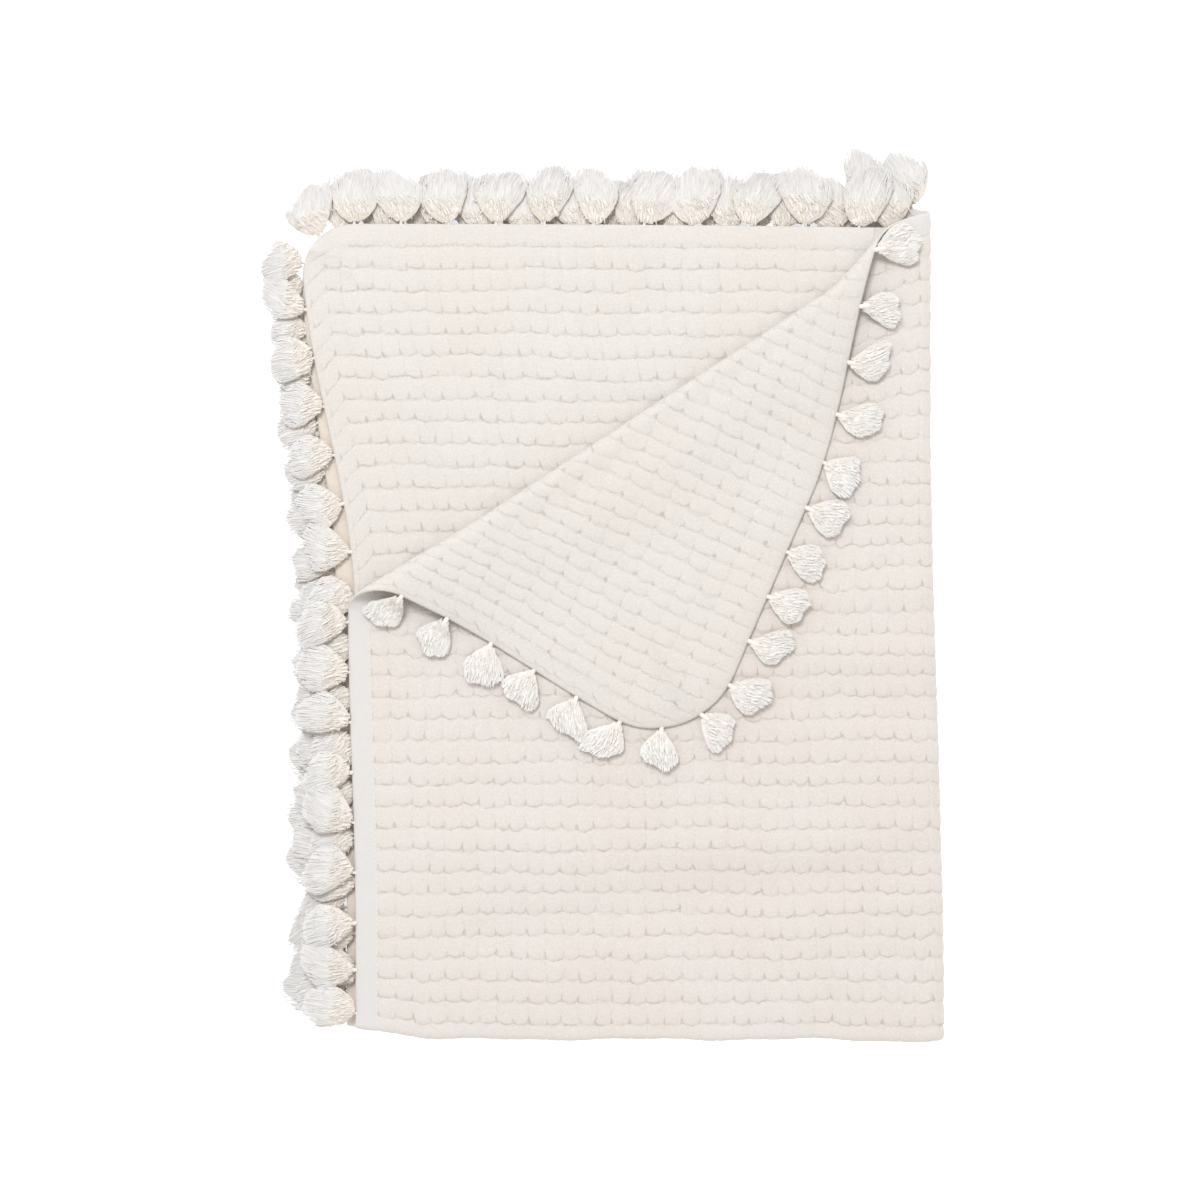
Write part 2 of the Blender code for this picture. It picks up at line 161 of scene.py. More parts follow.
class NodeGraph:
    """Puts nodes into one tree and joins them."""

    def __init__(self, tree: NodeTree) -> None:
        """Holds the tree."""
        self.tree = tree

    def socket(self, name: str, kind: str, default: Any = None) -> None:
        """Gives the tree a named input.

        Args:
            name: the input's name.
            kind: the socket's class without its NodeSocket prefix.
            default: its value until a user sets one.
        """
        made = self.tree.interface.new_socket(
            name, in_out="INPUT", socket_type="NodeSocket" + kind
        )
        if default is not None:
            made.default_value = default

    def sockets(self, kind: str, defaults: dict[str, Any]) -> None:
        """Gives the tree inputs of one kind, each with its value."""
        for name, default in defaults.items():
            self.socket(name, kind, default)

    def output(self, name: str, kind: str) -> None:
        """Gives the tree a named output."""
        self.tree.interface.new_socket(name, in_out="OUTPUT", socket_type="NodeSocket" + kind)

    def put(self, kind: str, values: dict[Any, Any] | None = None, **settings: Any) -> Node:
        """Adds a node.

        Args:
            kind: the node's class.
            values: its inputs by name or by place, as numbers, sockets or terms.
            settings: its own properties.

        Returns:
            The node.
        """
        node = self.tree.nodes.new(kind)
        for name, value in settings.items():
            setattr(node, name, value)
        for key, value in (values or {}).items():
            if isinstance(key, int):
                socket = node.inputs[key]
            else:
                socket = next(s for s in node.inputs if s.name == key and s.enabled)
            self.feed(socket, value)
        return node

    def feed(self, socket: NodeSocket, value: Any) -> None:
        """Joins something to an input.

        Args:
            socket: the input.
            value: a socket or a term to join to it, or a plain value to set it to.
        """
        if isinstance(value, Term):
            value = value.socket
        if isinstance(value, NodeSocket):
            self.tree.links.new(value, socket)
        else:
            socket.default_value = value

    def math(self, operation: str, *values: Any) -> Term:
        """One step of arithmetic on numbers or terms."""
        node = self.put("ShaderNodeMath", dict(enumerate(values)), operation=operation)
        return Term(self, node.outputs[0])

    def given(self, name: str) -> Term:
        """One of the tree's own inputs.

        Args:
            name: its name.

        Returns:
            Its value.
        """
        inputs = next((n for n in self.tree.nodes if n.bl_idname == "NodeGroupInput"), None)
        inputs = inputs or self.tree.nodes.new("NodeGroupInput")
        return Term(self, inputs.outputs[name])

    def parts(self, vector: Any) -> tuple[Term, Term, Term]:
        """The three numbers of a vector."""
        node = self.put("ShaderNodeSeparateXYZ", {0: vector})
        return tuple(Term(self, out) for out in node.outputs)

    def vector(self, x: Any, y: Any, z: Any) -> NodeSocket:
        """A vector of three numbers."""
        return self.put("ShaderNodeCombineXYZ", {0: x, 1: y, 2: z}).outputs[0]

    def named(self, name: str, kind: str = "FLOAT") -> Term:
        """An attribute of the geometry, by its name."""
        node = self.put("GeometryNodeInputNamedAttribute", {"Name": name}, data_type=kind)
        return Term(self, next(out for out in node.outputs if out.enabled))

    def luck(self, low: Any, high: Any, seed: Any, index: Any = None) -> Term:
        """A random number for each element, the same in each run.

        Args:
            low: the least that it can be.
            high: the most that it can be.
            seed: the seed.
            index: what stands for the element, or None for its own place in the list.

        Returns:
            The number.
        """
        values = {"Min": low, "Max": high, "Seed": seed}
        if index is not None:
            values["ID"] = index
        node = self.put("FunctionNodeRandomValue", values, data_type="FLOAT")
        return Term(self, next(out for out in node.outputs if out.enabled))

    def stored(self, geometry: Any, values: dict[str, Any]) -> NodeSocket:
        """Stores numbers on the points of a geometry.

        Args:
            geometry: the geometry.
            values: the numbers, by the names that they get.

        Returns:
            The geometry with them.
        """
        for name, value in values.items():
            geometry = self.put(
                "GeometryNodeStoreNamedAttribute",
                {"Geometry": geometry, "Name": name, "Value": value},
                data_type="FLOAT",
                domain="POINT",
            ).outputs[0]
        return geometry

    def painted(self, name: str) -> Term:
        """A number that the surface carries, by its name."""
        return Term(self, self.put("ShaderNodeAttribute", attribute_name=name).outputs["Fac"])

    def noise(self, place: Any, scale: Any, detail: float, rough: float = 0.5) -> Node:
        """Soft noise over the places that are given."""
        values = {"Vector": place, "Scale": scale, "Detail": detail, "Roughness": rough}
        return self.put("ShaderNodeTexNoise", values)

    def mixed(self, share: Any, first: Any, second: Any) -> NodeSocket:
        """Mixes two colours.

        Args:
            share: how much of the second there is.
            first: a socket, a term or three numbers.
            second: the same.

        Returns:
            The colour between them.
        """
        first, second = ((*c, 1.0) if isinstance(c, tuple) else c for c in (first, second))
        node = self.put("ShaderNodeMix", {0: share, 6: first, 7: second}, data_type="RGBA")
        return node.outputs[2]


def geometry_tree(name: str) -> NodeGraph:
    """Starts a Geometry Nodes tree that takes and gives one geometry and takes a material.

    Args:
        name: its name.

    Returns:
        The tree.
    """
    graph = NodeGraph(bpy.data.node_groups.new(name, "GeometryNodeTree"))
    graph.tree.is_modifier = True
    graph.socket("Geometry", "Geometry")
    graph.output("Geometry", "Geometry")
    graph.socket("Material", "Material")
    return graph


def shaded(graph: NodeGraph, geometry: Any, smooth: bool = True) -> NodeSocket:
    """The same geometry, shaded smooth or flat."""
    return graph.put("GeometryNodeSetShadeSmooth", {0: geometry, "Shade Smooth": smooth}).outputs[0]


def give_geometry(graph: NodeGraph, geometry: NodeSocket) -> None:
    """Ends a Geometry Nodes tree: instances made real and given the tree's material.

    Args:
        graph: the tree.
        geometry: what the tree has made.
    """
    real = graph.put("GeometryNodeRealizeInstances", {"Geometry": geometry}).outputs[0]
    dressed = graph.put("GeometryNodeSetMaterial", {0: real, "Material": graph.given("Material")})
    graph.put("NodeGroupOutput", {"Geometry": dressed.outputs[0]})


def grow(base: Mesh, name: str, graph: NodeGraph, values: dict[str, Any]) -> Mesh:
    """Runs a Geometry Nodes tree on a mesh and keeps the result as a plain mesh.

    Args:
        base: the mesh that the tree starts from.
        name: the name of the result.
        graph: the tree.
        values: the tree's inputs by name.

    Returns:
        The plain mesh.
    """
    holder = bpy.data.objects.new(name + "_base", base)
    bpy.context.scene.collection.objects.link(holder)
    modifier = holder.modifiers.new(name, "NODES")
    modifier.node_group = graph.tree
    known = {item.name: item for item in graph.tree.interface.items_tree if item.in_out == "INPUT"}
    for key, value in values.items():
        modifier[known[key].identifier] = value
    depsgraph = bpy.context.evaluated_depsgraph_get()
    mesh = bpy.data.meshes.new_from_object(holder.evaluated_get(depsgraph), depsgraph=depsgraph)
    mesh.name = name
    holder.modifiers.remove(modifier)
    bpy.data.objects.remove(holder)
    return mesh


def show(mesh: Mesh, name: str) -> Object:
    """Links a finished mesh to the scene as an object at the origin.

    Args:
        mesh: the mesh.
        name: the object's name.

    Returns:
        The object.
    """
    obj = bpy.data.objects.new(name, mesh)
    bpy.context.scene.collection.objects.link(obj)
    return obj


def triangles(mesh: Mesh) -> int:
    """How many triangles a mesh has."""
    mesh.calc_loop_triangles()
    return len(mesh.loop_triangles)


@dataclass(frozen=True)
class CellShape:
    """The shape of a waffle cell: a flat-topped lobe with rounded lower corners.

    Attributes:
        foot: how far up the cell its lower edge has risen.
        shoulder: how far up the cell its upper edge begins to fall.
        notch: how far up the cell the notch beside it reaches.
        notch_width: half the width of that notch at its foot.
        notch_least: the least share of its width that the notch narrows to.
        notch_lean: how far the notch's outer side stands beyond its width.
        notch_soft: how softly its sides rise, beside its width.
        notch_end: how far below and above its top the notch fades.
        notch_depth: how deep the notch is, beside the cell's height.
        column_start: how far from the cell's middle the furrow beside it starts.
        column_depth: how deep the furrow between two cells of a row is.
    """

    foot: float = 0.10
    shoulder: float = 0.70
    notch: float = 0.38
    notch_width: float = 0.30
    notch_least: float = 0.12
    notch_lean: float = 1.3
    notch_soft: float = 0.95
    notch_end: Pair = (0.12, 0.04)
    notch_depth: float = 0.6
    column_start: float = 0.66
    column_depth: float = 0.34

    def notched(self, across: Term, up: Term) -> Term:
        """How deep in the notch a place is, from 0 to 1.

        Args:
            across: the distance from the cell's middle, 1 at its sides.
            up: the height up the cell, from 0 at the lobe's lower edge to 1.

        Returns:
            That depth.
        """
        width = (1.0 - up / self.notch).at_least(self.notch_least) * self.notch_width
        inner = (across - 1.0 + width * self.notch_lean) / (width * self.notch_soft)
        below, above = self.notch_end
        ended = up.step(self.notch - below, self.notch + above)
        return inner.at_least(0.0).at_most(1.0) * (1.0 - ended)

    def height(self, across: Term, up: Term) -> Term:
        """The height of the cell over its grooves.

        Args:
            across: the distance from the cell's middle, 1 at its sides.
            up: the height up the cell, from 0 at the lobe's lower edge to 1.

        Returns:
            That height, from 0 to 1.
        """
        lobe = up.step(0.0, self.foot) * (1.0 - up.step(self.shoulder, 1.0))
        furrow = 1.0 - across.step(self.column_start, 1.0) * self.column_depth
        return lobe * furrow * (1.0 - self.notched(across, up) * self.notch_depth)


@dataclass(frozen=True)
class SoftNoise:
    """Seeded unevenness that changes softly over the flat cloth.

    Attributes:
        seed: its seed.
        step: how far apart its random numbers stand.
        reach: how much cloth it covers.
    """

    seed: int
    step: float
    reach: float = 1.4

    def at(self, a: Array, b: Array) -> Array:
        """The unevenness at flat places.

        Args:
            a: how far across they lie.
            b: how far along they lie.

        Returns:
            Numbers from -1 to 1.
        """
        rng = np.random.default_rng(self.seed)
        count = int(self.reach / self.step) + 4
        grid = rng.uniform(-1.0, 1.0, (count, count))
        u = np.clip(a / self.step + 1.0, 0.0, grid.shape[0] - 2.001)
        v = np.clip(b / self.step + 1.0, 0.0, grid.shape[1] - 2.001)
        i, j = u.astype(int), v.astype(int)
        s, t = soft_step(u - i, 0.0, 1.0), soft_step(v - j, 0.0, 1.0)
        low = grid[i, j] * (1.0 - s) + grid[i + 1, j] * s
        high = grid[i, j + 1] * (1.0 - s) + grid[i + 1, j + 1] * s
        return low * (1.0 - t) + high * t


@dataclass(frozen=True)
class Slide:
    """How far one layer has slid.

    Attributes:
        corner_left: how far its top left corner has gone left.
        corner_down: how far that corner has gone down.
        side_left: how far its left side has gone left.
        corner_up: how far its top right corner has gone up.
    """

    corner_left: float
    corner_down: float
    side_left: float
    corner_up: float


@dataclass(frozen=True)
class Ridge:
    """A soft ridge over the folded stack, or a trough where it is below 0.

    Attributes:
        start: where it starts, across and along the stack.
        stop: where it stops.
        height: how high it is along its middle.
        width: how far beside its middle it has mostly gone.
        end_share: how quickly it goes beyond its ends, beside its sides.
    """

    start: Pair
    stop: Pair
    height: float
    width: float
    end_share: float = 0.6

    def at(self, x: Array, y: Array) -> Array:
        """Its height over places of the folded stack.

        Args:
            x: how far across they lie.
            y: how far along they lie.

        Returns:
            The height over each.
        """
        run = np.array(self.stop) - np.array(self.start)
        length = math.hypot(*run)
        along = ((x - self.start[0]) * run[0] + (y - self.start[1]) * run[1]) / length
        beside = ((x - self.start[0]) * -run[1] + (y - self.start[1]) * run[0]) / length
        beyond = np.maximum(np.maximum(-along, along - length), 0.0)
        away = beside**2 + (beyond * self.end_share) ** 2
        return self.height * np.exp(-away / self.width**2)


@dataclass(frozen=True)
class Draw:
    """A stretch of hem that is drawn in.

    Attributes:
        depth: how far the hem moves.
        start: where the stretch starts along the hem.
        full: where it is first drawn in fully.
        fade: where it is last drawn in fully.
        end: where it stops.
        reach: how far into the cloth it fades.
    """

    depth: float
    start: float
    full: float
    fade: float
    end: float
    reach: float

    def along(self, place: Array) -> Array:
        """How much of the depth there is at places along the hem."""
        return soft_step(place, self.start, self.full) - soft_step(place, self.fade, self.end)


@dataclass(frozen=True)
class Slope:
    """A height that is reached softly between two places."""

    height: float
    start: float
    stop: float

    def share(self, place: Array) -> Array:
        """How much of the height is reached at places."""
        return soft_step(place, self.start, self.stop)


@dataclass(frozen=True)
class FoldPlan:
    """The blanket's cut and its folds: where each flat place ends up in the folded stack."""

    width: float = 0.746
    length: float = 1.027
    corner_radius: float = 0.034
    flap_corner_radius: float = 0.058
    layer_pitch: float = 0.0040
    side_fold: float = 0.370
    end_fold: float = 0.5105
    stack_middle: float = 0.0075
    end_radius: float = 0.0020
    side_radius: float = 0.0040
    left_hem_x: float = -0.1513
    bottom_y: float = -0.2694
    origin: Pair = (0.002695, 0.009359)
    crease_start: float = 0.7773
    crease_angle: float = math.radians(32.8)
    roll_open_radius: float = 0.0078
    roll_radius: float = 0.0050
    roll_taper: float = 0.120
    settle_length: float = 0.075
    dip: Draw = Draw(0.022, 0.180, 0.340, 0.340, 0.420, 0.200)
    tuck: Draw = Draw(0.013, 0.782, 0.822, 0.842, 0.992, 0.120)
    slides: tuple[Slide, ...] = (
        Slide(0.000, 0.000, 0.0047, 0.020),
        Slide(0.033, -0.003, 0.0010, 0.000),
        Slide(0.022, 0.002, 0.0066, 0.000),
        Slide(0.014, 0.009, 0.0040, 0.020),
    )
    corner_span: Pair = (0.000, 0.225)
    side_span: Pair = (-0.200, 0.000)
    rise_from: Pair = (0.150, 0.080)
    rise_span: Pair = (0.055, 0.130)
    taper_right: float = 0.0085
    taper_span: Pair = (-0.265, 0.135)
    foot_corner: Slope = Slope(0.0070, -0.158, -0.095)
    foot_droop: Slope = Slope(0.0012, 0.140, 0.190)
    foot_wave: float = 0.0006
    foot_waves: tuple[Triple, ...] = ((1.0, 61.0, 0.0), (0.6, 143.0, 1.0))
    foot_span: Pair = (-0.278, -0.215)
    loft: float = 0.045
    loft_waves: tuple[Triple, ...] = ((21.0, 4.0, 0.6), (-5.0, 17.0, 1.1))
    ridge_base: float = 0.015
    ridges: tuple[Ridge, ...] = (
        Ridge((-0.1853, 0.2174), (-0.1450, 0.2219), 0.0012, 0.0030),
        Ridge((-0.1853, 0.2174), (-0.1437, 0.2099), 0.0012, 0.0030),
        Ridge((-0.1853, 0.2174), (-0.1475, 0.1966), 0.0012, 0.0030),
        Ridge((-0.0340, 0.0510), (0.1050, 0.1530), -0.0012, 0.0120),
        Ridge((-0.0680, -0.2120), (0.2010, -0.1670), -0.0016, 0.0170),
        Ridge((-0.1000, -0.1560), (0.1700, -0.1580), 0.0014, 0.0180),
        Ridge((0.1130, -0.0030), (0.2050, 0.0040), 0.0012, 0.0100),
        Ridge((0.1200, -0.0380), (0.2050, -0.0360), 0.0012, 0.0100),
        Ridge((0.1100, -0.0670), (0.2050, -0.0700), -0.0012, 0.0120),
    )

    def rounded(self, a: Array, b: Array) -> tuple[Array, Array]:
        """Flat places, drawn in towards the middle where a corner is rounded.

        Args:
            a: how far across they lie.
            b: how far along they lie.

        Returns:
            Their new numbers across and along.
        """
        half_a, half_b = self.width / 2, self.length / 2
        flap = (a < half_a) & (b > half_b)
        radius = np.where(flap, self.flap_corner_radius, self.corner_radius)
        over_a = np.abs(a - half_a) - half_a + radius
        over_b = np.abs(b - half_b) - half_b + radius
        far = np.maximum(np.hypot(over_a, over_b), TINY)
        inside = (over_a <= 0.0) | (over_b <= 0.0)
        pull = np.where(inside, 0.0, 1.0 - np.maximum(over_a, over_b) / far)
        return (
            a - np.copysign(over_a * pull, a - half_a),
            b - np.copysign(over_b * pull, b - half_b),
        )

    def shaped(self, a: Array, b: Array) -> tuple[Array, Array]:
        """Flat places once the corners are rounded and the hems are drawn in.

        Args:
            a: how far across they lie.
            b: how far along they lie.

        Returns:
            Their new numbers across and along.
        """
        a, b = self.rounded(a, b)
        dip = self.dip.along(a) * soft_step(b, self.length - self.dip.reach, self.length)
        tuck = self.tuck.along(b) * (1.0 - soft_step(a, 0.0, self.tuck.reach))
        return a + self.tuck.depth * tuck, b - self.dip.depth * dip

    def past_crease(self, a: Array, b: Array) -> Array:
        """How far flat places lie beyond the slanting crease."""
        cos, sin = math.cos(self.crease_angle), math.sin(self.crease_angle)
        return -a * sin + (b - self.crease_start) * cos

    def turned_back(self, a: Array, b: Array, w: Array) -> tuple[Array, Array, Array]:
        """Places of the top layer after its corner is rolled over the crease.

        Args:
            a: how far across they lie.
            b: how far along they lie.
            w: their height above the cloth's middle.

        Returns:
            Their new numbers across and along, and their new height.
        """
        cos, sin = math.cos(self.crease_angle), math.sin(self.crease_angle)
        past = self.past_crease(a, b)
        along = a * cos + (b - self.crease_start) * sin
        tight = soft_step(along, 0.0, self.roll_taper)
        radius = self.roll_open_radius + (self.roll_radius - self.roll_open_radius) * tight
        turn = np.clip(past / radius, 0.0, math.pi)
        rest = past - turn * radius
        out = (radius - w) * np.sin(turn) - rest
        height = radius - (radius - w) * np.cos(turn)
        settled = soft_step(rest, 0.0, self.settle_length)
        height = height - (2.0 * radius - self.layer_pitch) * settled
        over = past > 0.0
        return (
            np.where(over, a - sin * (out - past), a),
            np.where(over, b + cos * (out - past), b),
            np.where(over, height, w),
        )

    def layer_of(self, a: Array, b: Array) -> Array:
        """The number of the layer that flat places lie in, from 1 on top to 4 on the floor."""
        near, far = np.where(b > self.end_fold, 1, 2), np.where(b > self.end_fold, 4, 3)
        return np.where(a < self.side_fold, near, far)

    def folded(self, a: Array, b: Array, w: Array) -> tuple[Array, Array, Array]:
        """Flat places after the crease, the bottom fold and the right fold.

        Args:
            a: how far across they lie.
            b: how far along they lie.
            w: their height above the cloth's middle.

        Returns:
            Their x, y and z in the folded stack.
        """
        first = self.layer_of(a, b) == 1
        back_a, back_b, back_w = self.turned_back(a, b, w)
        a, b, w = np.where(first, back_a, a), np.where(first, back_b, b), np.where(first, back_w, w)
        quarter = math.pi / 2
        past = b - self.end_fold
        turn = np.clip(past / self.end_radius, -quarter, quarter)
        beyond = np.abs(past) - np.abs(turn) * self.end_radius
        y = self.bottom_y + self.end_radius - (self.end_radius + w) * np.cos(turn) + beyond
        offset = (self.end_radius + w) * np.sin(turn)
        past = a - self.side_fold
        turn = np.clip(past / self.side_radius, -quarter, quarter)
        beyond = np.abs(past) - np.abs(turn) * self.side_radius
        straight = self.side_fold - quarter * self.side_radius
        x = self.left_hem_x + straight + (self.side_radius + offset) * np.cos(turn) - beyond
        return x, y, self.stack_middle - (self.side_radius + offset) * np.sin(turn)

    def slid(self, x: Array, y: Array, layer: Array) -> tuple[Array, Array]:
        """Places of the folded stack after its layers have slid over each other.

        Args:
            x: how far across they lie.
            y: how far along they lie.
            layer: the number of each one's layer.

        Returns:
            Their new x and y.
        """
        table = np.array(
            [(s.corner_left, s.corner_down, s.side_left, s.corner_up) for s in self.slides]
        )
        left, down, side_left, corner_up = table[layer - 1].T
        share = (x - self.left_hem_x) / self.side_fold
        corner = soft_step(y, *self.corner_span) * (1.0 - np.maximum(share, 0.0) ** 3)
        side = soft_step(y, *self.side_span) * (1.0 - share)
        taper = soft_step(y, *self.taper_span) * share
        (from_x, from_y), (span_x, span_y) = self.rise_from, self.rise_span
        up = soft_step(x, from_x, from_x + span_x) * soft_step(y, from_y, from_y + span_y)
        return (
            x - left * corner - side_left * side - self.taper_right * taper,
            y - down * corner + corner_up * up,
        )

    def foot_rise(self, x: Array, y: Array) -> Array:
        """How far up the bottom fold is drawn, because it isn't quite straight.

        Args:
            x: how far across they lie.
            y: how far along they lie.

        Returns:
            How far up each place goes.
        """
        corner, droop = self.foot_corner, self.foot_droop
        rise = corner.height * (1.0 - corner.share(x)) - droop.height * droop.share(x)
        waves = sum(size * np.sin(rate * x + start) for size, rate, start in self.foot_waves)
        rise = rise + self.foot_wave * waves
        return rise * (1.0 - soft_step(y, *self.foot_span))

    def lift(self, x: Array, y: Array) -> Array:
        """How much taller than flat the soft stack stands over places of it.

        Args:
            x: how far across they lie.
            y: how far along they lie.

        Returns:
            What each place's height is multiplied by.
        """
        wave = np.ones_like(x)
        for u, v, start in self.loft_waves:
            wave = wave * np.sin(u * (x + self.origin[0]) + v * (y + self.origin[1]) + start)
        lift = 1.0 + self.loft * (1.0 + wave)
        for ridge in self.ridges:
            lift = lift + ridge.at(x, y) / self.ridge_base
        return lift

    def place(self, a: Any, b: Any, w: Any) -> Array:
        """Where flat places end up.

        Args:
            a: how far across from the left hem of the top layer.
            b: how far along from the top hem of the second layer.
            w: the height above the cloth's middle.

        Returns:
            One row of x, y and z for each place.
        """
        a, b, w = (np.atleast_1d(np.asarray(v, float)) for v in (a, b, w))
        a, b = self.shaped(a, b)
        x, y, z = self.folded(a, b, w)
        x, y = self.slid(x, y, self.layer_of(a, b))
        x, y = x - self.origin[0], y - self.origin[1]
        y = y + self.foot_rise(x, y)
        return np.stack([x, y, z * self.lift(x, y)], axis=1)

    def beside(self, hem: Hem, along: Any, out: Any) -> tuple[Array, Array]:
        """Flat places beside a hem.

        Args:
            hem: the hem.
            along: how far along it they lie.
            out: how far outside it they lie.

        Returns:
            Their numbers across and along.
        """
        along, out = np.broadcast_arrays(np.asarray(along, float), np.asarray(out, float))
        return {
            Hem.NEAR: (-out, along),
            Hem.FAR: (self.width + out, along),
            Hem.FOOT: (along, -out),
            Hem.HEAD: (along, self.length + out),
        }[hem]


def cell_axes(column: Term, row: Term, turned: Term) -> tuple[Term, Term]:
    """The cell counts beside and along the lobes, swapped where turned is 1 and not 0."""
    swap = (row - column) * turned
    return column + swap, row - swap


def cell_place(beside: Term, along: Term, side: Term, turned: Term) -> tuple[Term, Term]:
    """Where in its cell a place is.

    The lobes of the two faces point opposite ways along the cloth, and those of the turned-back
    corner point across it, so that they all hang towards the near side of the stack.

    Args:
        beside: the cell count beside the lobes.
        along: the cell count along the lobes.
        side: 1 on the front face and -1 on the back face.
        turned: 1 on the turned-back corner and 0 elsewhere.

    Returns:
        The distance from the cell's middle, 1 at its sides, and how far up the cell it is.
    """
    share = along.part()
    ahead = side.at_least(turned).at_least(0.0)
    up = share * ahead + (1.0 - share) * (1.0 - ahead)
    return (beside.part() * 2.0 - 1.0).size(), up


@dataclass(frozen=True)
class CutLines:
    """The lines that cut the flat cloth along one of its sides.

    Attributes:
        flat: where each line lies.
        cells: the same, counted in cells from the hem.
        blocks: which of the lines part the cells.
        hem: how far across the hem each line lies, from 0 at the edge to 1, or 1 inside.
    """

    flat: Array
    cells: Array
    blocks: list[int]
    hem: Array

    def within(self, shares: Array) -> Array:
        """The places at these shares of each block, one row for each block."""
        low, high = self.flat[self.blocks[:-1]], self.flat[self.blocks[1:]]
        return low[:, None] * (1 - shares) + high[:, None] * shares


@dataclass(frozen=True)
class Corners:
    """The corners of the flat sheet's faces.

    Attributes:
        a: how far across each lies.
        b: how far along each lies.
        column: its cell count across.
        row: its cell count along.
        hem_a: how far across the near or far hem it lies, from 0 at the edge to 1, or 1 inside.
        hem_b: the same for the foot and head hems.
        front: whether it is on the front face.
        turned: whether it is on the turned-back corner.
        fine: whether a finely cut face uses it.
    """

    a: Array
    b: Array
    column: Array
    row: Array
    hem_a: Array
    hem_b: Array
    front: Array
    turned: Array
    fine: Array

    @property
    def inside(self) -> Array:
        """How far inside the hems each lies, from 0 at the edge to 1."""
        return np.minimum(self.hem_a, self.hem_b)


